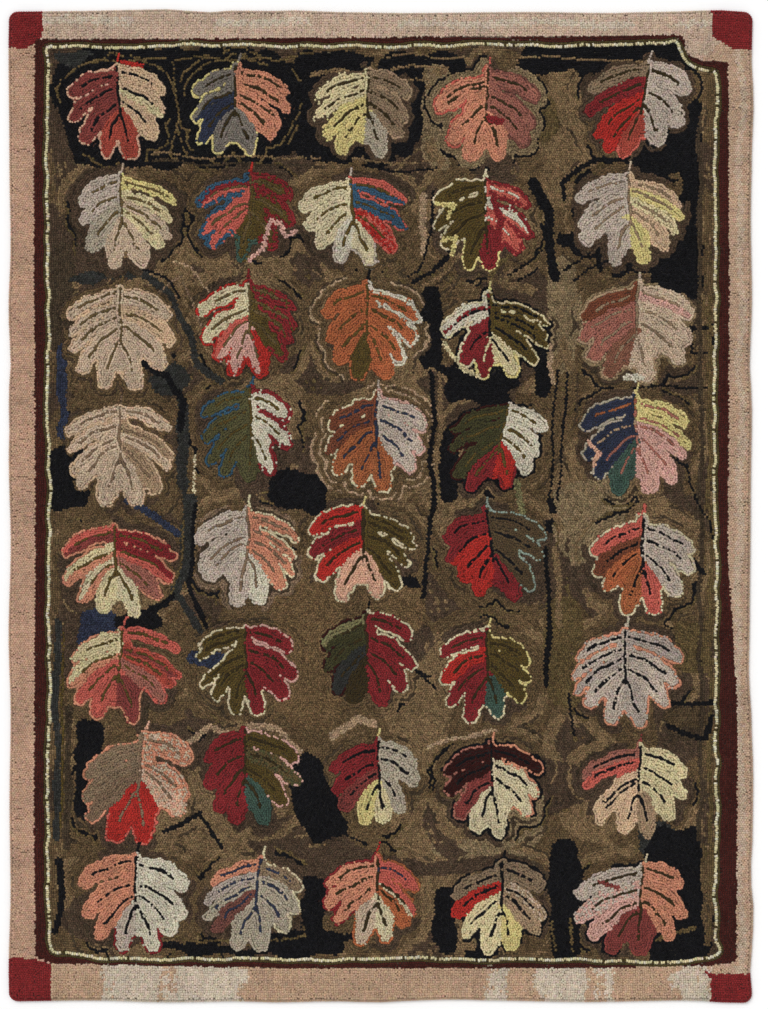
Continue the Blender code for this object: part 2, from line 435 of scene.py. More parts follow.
def place_in_leaf(leaf, lobes, x, y):
    """Where points lie in a leaf, after a slow wander has moved them and the lean is taken out.
    The depth is the half width less the distance to the line, the greatest over the lobes, blended
    so that the notches fill a little, or over the heart and the cone. Beside it come the distance
    to the nearest vein, the lobe's number, whether the point is in the lobe's upper half, and the
    distance to the stem. Finer wanders are added to the depth and to the distance to the vein."""
    waver = WAVER * drift(x, y, WAVER_ROOM, 33)
    vein_waver = VEIN_WAVER * drift(x, y, VEIN_ROOM, 34)
    wobble = [WOBBLE * drift(x, y, WOBBLE_ROOM, seed) for seed in (35, 36)]
    x, y = x + wobble[0], y + wobble[1]
    x, y = x - leaf.x + leaf.lean * (y - leaf.y) / leaf.high, y - leaf.y
    blend, vein = np.zeros(x.shape), np.full(x.shape, 999.0)
    lobe, upper, nearest = np.zeros(x.shape, int), np.zeros(x.shape, bool), np.full(x.shape, 999.0)
    for number, (part, _, line, widths) in enumerate(lobes):
        inside = np.full(x.shape, -999.0)
        wrong_side = (part == "left") * (x > leaf.rib + 1) + (part == "right") * (x < leaf.rib - 1)
        for bend in range(BENDS - 1):
            distance, share, side = to_segment(x, y, line[bend], line[bend + 1])
            width = widths[bend] + share * (widths[bend + 1] - widths[bend])
            inside = np.maximum(inside, width - distance)
            score = distance / width + WRONG_SIDE * wrong_side
            closer = score < nearest
            nearest = np.where(closer, score, nearest)
            lobe = np.where(closer, number, lobe)
            upper = np.where(closer, side < 0 if part == "left" else side > 0, upper)
            along = (bend + share) / (BENDS - 1)
            shown = (along > VEIN_FROM) & (along < VEIN_TO)
            vein = np.where(shown, np.minimum(vein, distance), vein)
        blend += np.exp(np.clip(inside, -60, 60) / NOTCH_FILL)
    depth = NOTCH_FILL * np.log(blend + 1e-12)
    heart_x, heart_y = HEART_WIDE * leaf.wide / 2, HEART_HIGH * leaf.high
    heart = 1 - np.hypot((x - leaf.rib / 2) / heart_x, y / heart_y)
    depth = np.maximum(depth, heart * min(heart_x, heart_y))
    top, foot = (np.array([leaf.rib, leaf.high * share]) for share in (RIB_TOP, RIB_LOW))
    rib, share, _ = to_segment(x, y, top, foot)
    depth = np.maximum(depth, leaf.high * (CONE_TOP + CONE_GROWTH * share) - rib) + waver
    stem_end = np.array([leaf.rib + STEM_RIGHT, leaf.high * 0.5 + STEM_UP])
    stem = to_segment(x, y, top, stem_end)[0]
    return LeafPlace(depth, np.minimum(vein, rib) + vein_waver, lobe, upper, stem)


sample = place_in_leaf(LEAVES[10], LOBES[10], np.array([-374.0]), np.array([243.0]))
print("depth at the middle of one leaf, mm:", round(float(sample.depth[0]), 1))

# %% [markdown]
# # The frame lines
# Inside the salmon border run a dark red band, a thin olive line and a single row of cream that
# shows like a string of beads. The cream row is a closed path, which steps in round the notch at
# the top right. The border's inner edge is a second one. Both are listed point by point.

# %% Two closed paths
def read_path(text):
    """The places of a path written as `x y, x y`."""
    return np.array([place.split() for place in text.split(",")], float)


CREAM_PATH = read_path("""
-480 661, -370 660, -261 663, -120 661, 27 661, 140 663, 258 662, 350 664, 408 664, 422 671,
427 659, 435 646, 448 633, 464 626, 482 625, 483 608, 480 450, 482 297, 479 150, 480 9, 483 -140,
481 -279, 483 -420, 480 -567, 482 -622, 488 -642, 472 -649, 440 -656, 315 -653, 170 -652, 27 -650,
-120 -653, -261 -650, -400 -652, -440 -645, -474 -640, -477 -622, -480 -423, -476 -280, -478 -135,
-476 20, -480 153, -477 300, -481 441, -479 580
""")
BORDER_PATH = read_path("""
-498 671, -261 672, 27 674, 258 675, 432 677, 436 668, 438 655, 448 645, 464 640, 499 638, 501 297,
499 -78, 505 -164, 512 -279, 512 -495, 511 -655, 474 -661, 315 -664, -117 -665, -474 -658,
-497 -648, -499 -423, -497 9, -499 441
""")
print("bends of the cream path:", len(CREAM_PATH), "- of the border's edge:", len(BORDER_PATH))

# %% Walking a path, and telling inside from outside
BEND_STEP, BEND_WANDER, BEND_ROOM = 7, 1.6, 45


def along_path(path, spacing):
    """Even places along a closed path: (points, directions), by the length walked so far."""
    closed = np.vstack([path, path[:1]])
    lengths = np.hypot(*np.diff(closed, axis=0).T)
    walked = np.concatenate([[0], np.cumsum(lengths)])
    count = round(walked[-1] / spacing)
    stops = np.arange(count) * walked[-1] / count
    places = np.stack([np.interp(stops, walked, closed[:, axis]) for axis in (0, 1)], axis=1)
    steps = np.roll(places, -1, axis=0) - np.roll(places, 1, axis=0)
    return places, steps / np.linalg.norm(steps, axis=1, keepdims=True)


def inside_path(path, x, y):
    """Distance to a closed path, positive inside. A point is inside if a line from it to the
    right crosses the path an odd number of times."""
    distance = np.full(x.shape, 9999.0)
    crossings = np.zeros(x.shape, int)
    for start, end in zip(path, np.roll(path, -1, axis=0)):
        distance = np.minimum(distance, to_segment(x, y, start, end)[0])
        spans = (start[1] > y) != (end[1] > y)
        rise = end[1] - start[1] if end[1] != start[1] else 1e-9
        crossings += spans & (x < start[0] + (y - start[1]) * (end[0] - start[0]) / rise)
    return np.where(crossings % 2 == 1, distance, -distance)


smooth_cream, _ = along_path(CREAM_PATH, BEND_STEP)
before, after = np.roll(smooth_cream, 1, axis=0), np.roll(smooth_cream, -1, axis=0)
smooth_cream = (before + 2 * smooth_cream + after) / 4
bends = [drift(smooth_cream[:, 1], smooth_cream[:, 0], BEND_ROOM, seed) for seed in (31, 32)]
smooth_cream += BEND_WANDER * np.stack(bends, axis=1)
print("cream path, mm round:", round(float(np.hypot(*np.diff(smooth_cream, axis=0).T).sum())))

# %% [markdown]
# # Where the rows run
# Loops sit in rows. Inside a leaf the rows follow the outline and the veins, in the ground they
# echo the leaves, and near the frame they follow it. All of that is one number at each point, the
# row number, which grows by one from each row to the next. It could be worked out anew for every
# loop each time it moves, but that is slow. So it is worked out once on a fine grid, and the loops
# read it off there. The border's rows are straight and need no grid: they run across it.

# %% Rows in and round the leaves
CELL = 1.25
ROUND_LEAF = 45
grid_x = np.arange(-HALF_WIDE - 6, HALF_WIDE + 6, CELL)
grid_y = np.arange(-HALF_LONG - 6, HALF_LONG + 6, CELL)
mesh_x, mesh_y = np.meshgrid(grid_x, grid_y)


def leaf_rows():
    """Row number from the leaves alone: inside a leaf the lesser of the depth and the distance
    past the vein's own half row; outside, the distance to the nearest leaf. Both in rows."""
    rows = np.full(mesh_x.shape, 99.0)
    for leaf, lobes in zip(LEAVES, LOBES):
        near_x = np.abs(grid_x - leaf.x) < leaf.wide / 2 + ROUND_LEAF
        near_y = np.abs(grid_y - leaf.y) < leaf.high / 2 + ROUND_LEAF
        box = np.ix_(near_y, near_x)
        here = place_in_leaf(leaf, lobes, mesh_x[box], mesh_y[box])
        inside = np.minimum(here.depth, here.vein + ROW / 2) / ROW
        outside = np.minimum(-here.depth, here.stem + ROW / 2) / ROW
        rows[box] = np.where(here.depth > 0, -inside, np.minimum(rows[box], outside))
    return np.abs(rows)


rows_by_leaf = leaf_rows()
print("grid cells:", rows_by_leaf.size)

# %% Rows beside the frame
CREAM_HALF, OLIVE_WIDE, BAND_ROW = 2.7, 3.3, 3.3
NEAR_FRAME, FAR_OUT = 90.0, 460


def frame_rows(depth):
    """Row number from the cream row: 0 at its inner edge and growing inwards, and on the other
    side falling by one over the cream row, one over the olive line and one for each band row."""
    olive_end = CREAM_HALF + OLIVE_WIDE
    outwards = [-999, -CREAM_HALF, CREAM_HALF, olive_end, olive_end + FAR_OUT]
    rows = [(999 - CREAM_HALF) / ROW, 0, -1, -2, -2 - FAR_OUT / BAND_ROW]
    return np.interp(-depth, outwards, rows)


def depth_near_path(path):
    """Distance to a smooth closed path on the grid, positive inside, worked out only near it.
    The path runs clockwise, so the inside lies to the right of each piece."""
    depth = np.full(mesh_x.shape, NEAR_FRAME)
    for start, end in zip(path, np.roll(path, -1, axis=0)):
        low, high = np.minimum(start, end) - NEAR_FRAME, np.maximum(start, end) + NEAR_FRAME
        across = slice(*np.searchsorted(grid_x, (low[0], high[0])))
        along = slice(*np.searchsorted(grid_y, (low[1], high[1])))
        here = mesh_x[along, across], mesh_y[along, across]
        distance, _, side = to_segment(*here, start, end)
        closer = distance < np.abs(depth[along, across])
        signed = np.where(side < 0, distance, -distance)
        depth[along, across] = np.where(closer, signed, depth[along, across])
    return depth


cream_depth = depth_near_path(smooth_cream)
border_depth = inside_path(BORDER_PATH, mesh_x, mesh_y)
row_number = np.minimum(rows_by_leaf, frame_rows(cream_depth))
row_slope_y, row_slope_x = np.gradient(row_number, CELL)
print("greatest row number:", round(float(row_number.max()), 1))


# %% Reading a value off the grid
def on_grid(values, x, y):
    """Values read off the grid at any points, weighted by how near the four corners are."""
    across = np.clip((x - grid_x[0]) / CELL, 0, len(grid_x) - 1.001)
    along = np.clip((y - grid_y[0]) / CELL, 0, len(grid_y) - 1.001)
    i, j = across.astype(int), along.astype(int)
    u, v = across - i, along - j
    low = values[j, i] * (1 - u) + values[j, i + 1] * u
    high = values[j + 1, i] * (1 - u) + values[j + 1, i + 1] * u
    return low * (1 - v) + high * v


middle_row = on_grid(row_number, np.zeros(1), np.zeros(1))[0]
print("row number at the rug's middle:", round(float(middle_row), 1))

# %% [markdown]
# # Laying the loops
# A plain lattice of loops would look like a printed grid, and loops strewn by chance would clump.
# So they start on a lattice, and then, round after round, each loop is pushed away from its near
# neighbours and drawn to the middle of its row. What comes out has the evenness and the small
# faults of hand hooking. The cream row, the olive line and the rolled rim are laid one by one
# along their paths instead, and stay put while the others settle.

# %% The first lattice
FIELD_ACROSS, FIELD_ALONG = 3.36, 3.14
BORDER_ROW, BORDER_STEP = 3.0, 3.5
RIM_INSET, RIM_ROOM = 3.4, 1.8
JITTER = 0.22
FIELD_WAY, ACROSS_WAY, UP_WAY = 0, 1, 2


def lattice(step_x, step_y, seed):
    """Points at even steps, every other line shifted by half a step, each moved by a little."""
    random = np.random.default_rng(seed)
    lines = np.arange(-HALF_LONG, HALF_LONG, step_y)
    places = np.arange(-HALF_WIDE, HALF_WIDE, step_x)
    x, y = np.meshgrid(places, lines)
    x = x + (np.arange(len(lines)) % 2)[:, None] * step_x / 2
    x, y = x.ravel(), y.ravel()
    jitter = random.uniform(-JITTER, JITTER, (2, len(x)))
    return x + jitter[0] * step_x, y + jitter[1] * step_y


def border_way(x, y):
    """Which way the border's rows run: across beside the left and right edges, and up beside the
    near and far ones, split where a mitre would be."""
    return np.where(HALF_WIDE - np.abs(x) < HALF_LONG - np.abs(y), ACROSS_WAY, UP_WAY)


def first_places():
    """All the loops that will settle, with the way their rows run, field and border."""
    parts = []
    for step_x, step_y, way in (
        (FIELD_ACROSS, FIELD_ALONG, FIELD_WAY),
        (BORDER_STEP, BORDER_ROW, ACROSS_WAY),
        (BORDER_ROW, BORDER_STEP, UP_WAY),
    ):
        x, y = lattice(step_x, step_y, 40 + way)
        in_border = on_grid(border_depth, x, y) < 0
        if way == FIELD_WAY:
            middle_off = np.abs(on_grid(cream_depth, x, y) + OLIVE_WIDE / 2)
            keep = ~in_border & (middle_off > CREAM_HALF + OLIVE_WIDE / 2)
        else:
            keep = in_border & (border_way(x, y) == way) & (inset(x, y) > RIM_INSET + RIM_ROOM)
        parts.append(np.stack([x[keep], y[keep], np.full(keep.sum(), way)], axis=1))
    return np.concatenate(parts)


start_places = first_places()
print("loops to settle:", len(start_places))

# %% The loops that stay put
CREAM_STEP, OLIVE_STEP, RIM_STEP = 3.1, 3.2, 3.6
CORNER_STEPS = 7
BEAD_CHANCE, BEAD_MOST = 0.6, 1.2


def rounded_outline():
    """The rug's edge, clockwise from the left side's near end. Each corner is turned on a quarter
    circle between the ends of its two sides."""
    lines = [
        np.stack([-LEFT[1], LEFT[0]], axis=1),
        np.stack([FAR[0], FAR[1]], axis=1),
        np.stack([RIGHT[1], RIGHT[0]], axis=1)[::-1],
        np.stack([NEAR[0], -NEAR[1]], axis=1)[::-1],
    ]
    turn = np.linspace(0, np.pi / 2, CORNER_STEPS)[1:-1, None]
    ring = []
    for number, line in enumerate(lines):
        start, end = line[-1], lines[(number + 1) % 4][0]
        upright = number % 2 == 0
        inner = np.array([end[0], start[1]]) if upright else np.array([start[0], end[1]])
        ring += [line, inner + (start - inner) * np.cos(turn) + (end - inner) * np.sin(turn)]
    return np.concatenate(ring)


def to_left(ways):
    """The direction a quarter turn to the left of each direction, which is outwards here."""
    return np.stack([-ways[:, 1], ways[:, 0]], axis=1)


edge_ring = rounded_outline()
cream_places, cream_ways = along_path(smooth_cream, CREAM_STEP)
olive_places, olive_ways = along_path(smooth_cream, OLIVE_STEP)
rim_places, rim_ways = along_path(edge_ring, RIM_STEP)
bead_random = np.random.default_rng(61)
bead_off = bead_random.normal(0, BEAD_CHANCE, (len(cream_places), 1)).clip(-BEAD_MOST, BEAD_MOST)
cream_places = cream_places + to_left(cream_ways) * bead_off
olive_places = olive_places + to_left(olive_ways) * (CREAM_HALF + OLIVE_WIDE / 2)
rim_places = rim_places - to_left(rim_ways) * RIM_INSET
fixed = np.concatenate([cream_places, olive_places, rim_places])
print("cream", len(cream_places), "olive", len(olive_places), "rim", len(rim_places))

# %% Pushing loops apart
REACH = 3.7
SLOTS = 4
BIN = 3.8


def neighbours(places):
    """For each point, the numbers of the points in its own bin and the eight round it, or -1."""
    bins = ((places - places.min(axis=0)) / BIN).astype(int) + 1
    wide = bins[:, 1].max() + 2
    key = bins[:, 0] * wide + bins[:, 1]
    order = np.argsort(key, kind="stable")
    sorted_key = key[order]
    rank = np.arange(len(key)) - np.searchsorted(sorted_key, sorted_key)
    table = np.full((key.max() + wide + 2, SLOTS), -1)
    room = rank < SLOTS
    table[sorted_key[room], rank[room]] = order[room]
    shifts = [a * wide + b for a in (-1, 0, 1) for b in (-1, 0, 1)]
    return np.concatenate([table[key + shift] for shift in shifts], axis=1)


def push_apart(places):
    """The push on each point: away from each neighbour in reach, by how much too near it is."""
    others = neighbours(places)
    gap = places[:, None, :] - places[others]
    distance = np.hypot(gap[..., 0], gap[..., 1])
    near = (others >= 0) & (distance > 1e-6) & (distance < REACH)
    strength = np.where(near, (REACH - distance) / np.maximum(distance, 0.2), 0)
    return (gap * strength[..., None]).sum(axis=1)


print("push on the first rim loop:", push_apart(rim_places)[0].round(2).tolist())

# %% Drawing loops to their rows
MOST_STEP, LEAST_STEEP = 0.75, 0.04
CRISP_ROWS, LOOSE_PULL = 2.0, 0.35


def draw_to_row(places, way):
    """The step to the middle of each point's row. In the field it runs down the slope of the row
    number: how far the number is off the row's middle, times the slope, over the slope's square.
    It is taken whole for the rows beside an edge or a vein, and in part elsewhere and in the
    border, where it runs straight across the row."""
    x, y = places.T
    number = on_grid(row_number, x, y)
    off = number - np.floor(number) - 0.5
    slope_x, slope_y = on_grid(row_slope_x, x, y), on_grid(row_slope_y, x, y)
    steep = np.maximum(slope_x**2 + slope_y**2, LEAST_STEEP)
    pull = np.where(np.abs(number) < CRISP_ROWS, 1.0, LOOSE_PULL)
    step = np.stack([-off * slope_x / steep, -off * slope_y / steep], axis=1) * pull[:, None]
    for axis, name in ((1, ACROSS_WAY), (0, UP_WAY)):
        mine = way == name
        rows = (places[mine, axis] + 2 * drift(*places[mine].T, 60, 55)) / BORDER_ROW
        step[mine] = 0
        step[mine, axis] = -(rows - np.floor(rows) - 0.5) * BORDER_ROW * LOOSE_PULL
    return np.clip(step, -MOST_STEP, MOST_STEP)


first_step = draw_to_row(start_places[:1, :2], start_places[:1, 2])[0]
print("first step of the first loop, mm:", first_step.round(2).tolist())

# %% Settling
ROUNDS = 12
PUSH, FIRST_PULL, MORE_PULL = 0.22, 0.30, 0.40


def settle(start):
    """Pushes and draws the loops round after round, with the fixed loops in the crowd."""
    places, way = start[:, :2].copy(), start[:, 2].astype(int)
    for turn in range(ROUNDS):
        push = push_apart(np.concatenate([places, fixed]))[: len(places)]
        places += np.clip(PUSH * push, -MOST_STEP, MOST_STEP)
        places += draw_to_row(places, way) * (FIRST_PULL + MORE_PULL * turn / ROUNDS)
    return places, way


settled, settled_way = settle(start_places)
moved = np.hypot(*(settled - start_places[:, :2]).T)
print("settled; moved on average, mm:", round(float(moved.mean()), 2))

# %% [markdown]
# # The ground
# The ground was filled with whatever dark and dull wool was left: olive brown tweed in the middle,
# earth and bark at the left, patches of black where a coat was used up, and single rows of black
# or moss that echo the leaves. The patches and the stray lines are charted one by one. A patch has
# its yarn, middle, width and height, and a turn in degrees if it is askew. Its edge wanders. A
# stray line has its width in rows, its yarn and its bends. Ten short ones, in a chart of their
# own, are laid over the leaves, where the maker mended or lost the line.

# %% Patches and stray lines
Patch = namedtuple("Patch", "yarn x y wide high turn", defaults=(0,))
PATCH_CHART = """
bark -425 455 90 300, shade -460 300 40 150, ink -295 573 370 172, ink -70 575 120 160,
ink 60 622 130 60, ink 330 642 260 48, ink 45 540 30 80 -30, sand 262 530 62 190,
earth 105 515 60 120, ink 405 512 110 66, ink 453 440 46 280, ink 435 352 90 86,
ink -301 232 22 46, slate -308 186 52 52 30, navy -457 165 14 130, ink -450 40 64 94,
ink -120 22 84 54 -12, ink 74 258 34 116, ink 138 173 96 52 -8, ink 95 60 28 100,
ink 46 -135 22 66 12, ink 230 215 24 110, ink 256 -3 32 20, ink 256 -28 32 16,
shade 440 -309 64 54, ink -420 -380 40 150, ink -97 -420 60 130 25, ink -96 -575 34 80,
ink -110 -630 110 38, ink -260 -634 44 26, ink 265 -565 50 168, slate 400 -480 64 44,
ink 428 -560 100 196, ink 94 -598 34 100, ink 140 -645 34 18, ink -125 -92 26 26,
ink -127 -62 10 10, navy -254 -220 54 24 -10, navy -407 -176 54 52, ink -345 -166 70 28,
sand 70 -467 110 90, khaki 300 -22 100 120, sand -290 -467 80 70, sand -215 338 170 50,
slate -440 644 66 20 -8, bark -468 530 30 130 14, slate -395 329 110 14 6, slate -286 90 16 130,
khaki 82 560 46 150, moss 232 560 40 70, khaki 262 275 46 170, khaki 208 -446 52 90,
khaki 150 -492 150 26, nut -130 -110 60 90, nut -104 -215 96 210, earth 455 90 46 150,
nut 20 -150 90 60, moss 262 -210 50 160, earth 470 0 20 1260, brown 438 -305 54 34 12,
moss 450 -205 50 80, bark -255 -140 46 56, ink 270 383 28 14 -10
"""
Stray = namedtuple("Stray", "rows yarn path")
STRAY_CHART = """
1 moss: -400 640, -300 645, -150 640, -100 650
1 moss: -300 640, -292 560, -300 500, -250 480
2 sand: -98 622, -60 628, -20 618
1 sand: 10 648, 120 646
1 sand: 10 630, 90 632
1 sand: 20 612, 70 612
1 sand: 200 648, 330 640, 420 632
2 ink: 262 440, 262 462, 285 486, 320 498, 358 502
1 cream: -267 72, -268 10, -266 -28
2 slate: -281 66, -281 -20
3 navy: -367 10, -330 -14, -290 -42
1 ink: 252 196, 248 100, 240 6
1 ink: 268 192, 262 100, 252 10
1 shade: 284 190, 276 110
1 ink: 363 171, 474 170
1 ink: 430 259, 477 259
1 ink: 446 256, 474 256, 474 218, 446 218, 446 256
2 shade: 459 560, 457 300, 460 100, 458 -100, 460 -300, 459 -480
2 moss: 472 300, 472 100, 474 -100, 472 -300, 474 -560
3 slate: -340 330, -300 300, -278 250, -262 205, -230 180
2 sand: -320 345, -285 310, -268 262, -250 225, -205 190
3 ink: -345 205, -310 190, -285 150, -290 110
5 slate: -272 10, -282 -40, -284 -90, -296 -130
2 ink: -266 0, -272 -60, -276 -110, -262 -150, -250 -172
1 moss: -284 -20, -290 -80, -300 -130
3 ink: -296 -130, -320 -145, -345 -160
3 slate: -290 -130, -275 -155, -258 -178
3 tan: 62 446, 60 400, 62 366
1 ink: 76 456, 73 400, 58 340, 40 330
2 ink: 104 372, 78 340, 50 322
2 sand: 112 362, 88 332, 60 312
4 ink: 216 466, 240 424, 244 370, 250 330
2 moss: 196 366, 172 350, 160 330
4 ink: 82 200, 110 188, 150 170, 196 178
2 tan: 244 232, 240 200, 246 178
2 ink: 72 190, 80 120, 70 60, 76 0, 66 -80, 60 -130
2 sand: 84 190, 90 120, 80 66
2 ink: 238 -62, 241 -180, 236 -262
3 sand: 252 -62, 256 -120, 254 -170
3 tan: -282 -348, -244 -318, -208 -332
3 tan: -190 -318, -150 -322, -114 -352
3 tan: -72 -332, -34 -304, -8 -312
2 tan: 68 -346, 110 -334, 166 -324
3 ink: -462 -512, -460 -560, -467 -610
3 ink: -330 -632, -200 -641, -110 -628, -40 -616
1 moss: -300 -622, -200 -630, -110 -616
2 ink: 410 -282, 440 -288, 472 -282
2 ink: 412 -316, 440 -330, 466 -334, 474 -300
2 ink: -310 -468, -260 -440, -245 -470, -230 -492
1 ink: 80 -262, 48 -236, 70 -246
1 ink: -60 -470, -20 -486
2 ink: 392 -30, 430 -60, 462 -96
3 slate: -464 -165, -466 -300, -464 -480
1 olive: -457 -180, -458 -460
3 shade: -448 -290, -450 -490
3 sage: 196 34, 201 4, 205 -14
1 sand: -240 345, -215 352, -190 330, -170 300
1 stone: -330 300, -290 330, -270 300, -262 260
1 sand: -100 340, -75 320, -85 280, -95 250
1 ink: -190 350, -170 348
1 ink: 415 72, 440 60, 452 20, 470 -20, 478 -56
1 shade: 425 50, 440 10, 462 -30
1 ink: 272 -270, 276 -330
1 ink: 186 330, 205 345, 222 360, 236 372
1 ink: 200 322, 225 338
1 shade: 96 300, 110 325, 140 335, 158 330
1 moss: 90 310, 106 336, 140 348, 160 342
1 shade: 84 318, 102 346, 140 360
1 ink: 262 338, 285 352, 300 362
1 moss: 246 -596, 252 -640
1 moss: 268 -592, 276 -640
2 moss: 400 -622, 450 -604
1 sand: -330 508, -250 500, -160 503, -90 498
1 shade: -330 498, -250 490, -150 492, -80 486
1 sand: -40 498, 20 490, 80 498
1 ink: -30 488, 30 480, 80 486
1 ink: -345 340, -310 325, -290 300
1 tan: -300 350, -270 340, -245 310
1 ink: 275 325, 300 340, 330 350
"""
OVER_CHART = """
2 pink: -188 352, -166 370, -160 408, -146 404, -138 386, -122 398
2 lemon: 80 436, 104 434, 96 416
2 lemon: 88 382, 108 386, 100 362
3 crimson: 160 440, 172 410, 166 370
3 white: 352 186, 374 184
2 butter: 92 236, 104 216, 118 196, 142 182
2 red: -374 640, -345 634
3 crimson: 158 560, 172 552
2 shell: 300 92, 312 76, 306 60
2 rose: 316 -542, 340 -546
"""
PATCHES = [Patch(yarn, *map(int, rest)) for yarn, *rest in map(str.split, PATCH_CHART.split(","))]


def read_strays(chart):
    """Stray lines, one a line: how many rows wide, the yarn, a colon and the path."""
    halves = [line.split(":") for line in chart.strip().splitlines()]
    entries = [(*head.split(), read_path(path)) for head, path in halves]
    return [Stray(int(rows), yarn, path) for rows, yarn, path in entries]


STRAYS, OVER = read_strays(STRAY_CHART), read_strays(OVER_CHART)
print("patches:", len(PATCHES), "- stray lines:", len(STRAYS), "- over the leaves:", len(OVER))

# %% Inside a patch, near a stray line
EDGE_WANDER, LINE_WANDER = 4.0, 2.5


def in_patch(patch, x, y):
    """Inside a rounded box: the fourth powers of the two shares add to less than 1, with the
    edge moved in and out by the wander."""
    turn = np.radians(patch.turn)
    across = (x - patch.x) * np.cos(turn) + (y - patch.y) * np.sin(turn)
    along = (y - patch.y) * np.cos(turn) - (x - patch.x) * np.sin(turn)
    wander = EDGE_WANDER * drift(x, y, 45, 51)
    reach_x, reach_y = patch.wide / 2 + wander, patch.high / 2 + wander
    return (across / reach_x) ** 4 + (along / reach_y) ** 4 < 1


def near_stray(stray, x, y):
    """Within half the line's rows of a bent path that wanders a little."""
    bent_x = x + LINE_WANDER * drift(x, y, 70, 52)
    bent_y = y + LINE_WANDER * drift(x, y, 70, 53)
    pieces = zip(stray.path, stray.path[1:])
    distance = np.min([to_segment(bent_x, bent_y, a, b)[0] for a, b in pieces], axis=0)
    return distance < stray.rows * ROW / 2


print("loops in the first patch:", int(in_patch(PATCHES[0], *start_places.T[:2]).sum()))

# %% [markdown]
# Last come the bands of tweed that follow the leaves. Of every so many rows round a leaf, those
# from the first to the last of a band take its yarn, but only within the most rows that it may
# reach, and only where a wander with the band's own room and seed is higher than its last number.

# %% The ground's wool
Tweed = namedtuple("Tweed", "yarn room seed least")
TWEEDS = Tweed("sand", 260, 61, 0.45), Tweed("bark", 200, 62, 0.50)
Band = namedtuple("Band", "yarn every first last most room seed least")
BANDS = (
    Band("sand", 9, 5, 8, 99, 150, 67, 0.30),
    Band("bark", 9, 0, 2, 99, 150, 68, 0.38),
    Band("shade", 6, 2, 2, 9, 110, 64, 0.50),
    Band("ink", 99, 4, 4, 99, 120, 65, 0.60),
    Band("moss", 6, 5, 5, 99, 120, 65, 0.40),
    Band("sand", 6, 5, 5, 99, 100, 66, 0.50),
)
PLAIN = ("earth", "sand", "bark", "khaki", "stone")
ECHO_LEAST = -0.45


def ground_yarns(x, y, leaf_distance, leaf_number):
    """The yarn number of each ground loop: tweed, patches, echoes, bands, then stray lines. A
    loop's row is its distance from the nearest leaf, in whole rows."""
    yarn = np.full(x.shape, NUMBER["earth"])
    for tweed in TWEEDS:
        yarn[drift(x, y, tweed.room, tweed.seed) > tweed.least] = NUMBER[tweed.yarn]
    for patch in PATCHES:
        yarn[in_patch(patch, x, y)] = NUMBER[patch.yarn]
    plain = np.isin(yarn, [NUMBER[name] for name in PLAIN])
    row = np.floor(leaf_distance / ROW).astype(int)
    shown = drift(x, y, 90, 63) > ECHO_LEAST
    echo_rows = np.zeros(x.shape, int)
    for number, leaf in enumerate(LEAVES):
        mine = leaf_number == number
        echo = leaf.echo.split()
        echo_rows[mine] = len(echo)
        for place, name in enumerate(echo):
            yarn[mine & (row == place) & shown] = NUMBER[name]
    later = plain & (leaf_number >= 0) & (row >= echo_rows)
    for band in BANDS:
        turn = row % band.every
        here = (turn >= band.first) & (turn <= band.last) & (row < band.most)
        yarn[later & here & (drift(x, y, band.room, band.seed) > band.least)] = NUMBER[band.yarn]
    for stray in STRAYS:
        yarn[near_stray(stray, x, y)] = NUMBER[stray.yarn]
    return yarn


print("bands of tweed:", len(BANDS))

# %% [markdown]
# # Which wool each loop takes
# The leaves' loops look up their lobe, its half, the outermost row and the vein. A vein is one row
# that skips a loop now and then, which makes it look like running stitches. A stem is a row and a
# half wide, and the short lines of the second chart come last, over all of it.

# %% The leaves' wool
DASH, EDGE_MISSING, MIXED = 0.08, 0.12, 0.45
EDGE_ROW, VEIN_IN, STEM_HALF = 0.95 * ROW, 0.8 * ROW, ROW * 0.7


def leaf_yarns(leaf, lobes, here, random):
    """The yarn number of each loop inside one leaf."""
    chance = random.random(here.depth.shape)
    yarn = np.zeros(here.depth.shape, int)
    edges = dict(zip(("left", "foot", "right"), leaf.edges.split()))
    for number, lobe in enumerate(lobes):
        mine = here.lobe == number
        wool, _, own_vein = lobe.yarn.partition(":")
        upper, _, lower = wool.partition("/")
        for half, names in ((mine & here.upper, upper), (mine & ~here.upper, lower or upper)):
            one, _, other = names.partition("+")
            yarn[half] = NUMBER[one]
            if other:
                yarn[half & (chance < MIXED)] = NUMBER[other]
        if edges[lobe.part] != "-":
            edge, _, rows = edges[lobe.part].partition("*")
            in_edge = mine & (here.depth < EDGE_ROW * int(rows or 1))
            yarn[in_edge & (chance > EDGE_MISSING)] = NUMBER[edge]
        on_vein = mine & (here.vein < ROW / 2) & (here.depth > VEIN_IN) & (chance > DASH)
        yarn[on_vein] = NUMBER[own_vein or leaf.veins]
    return yarn


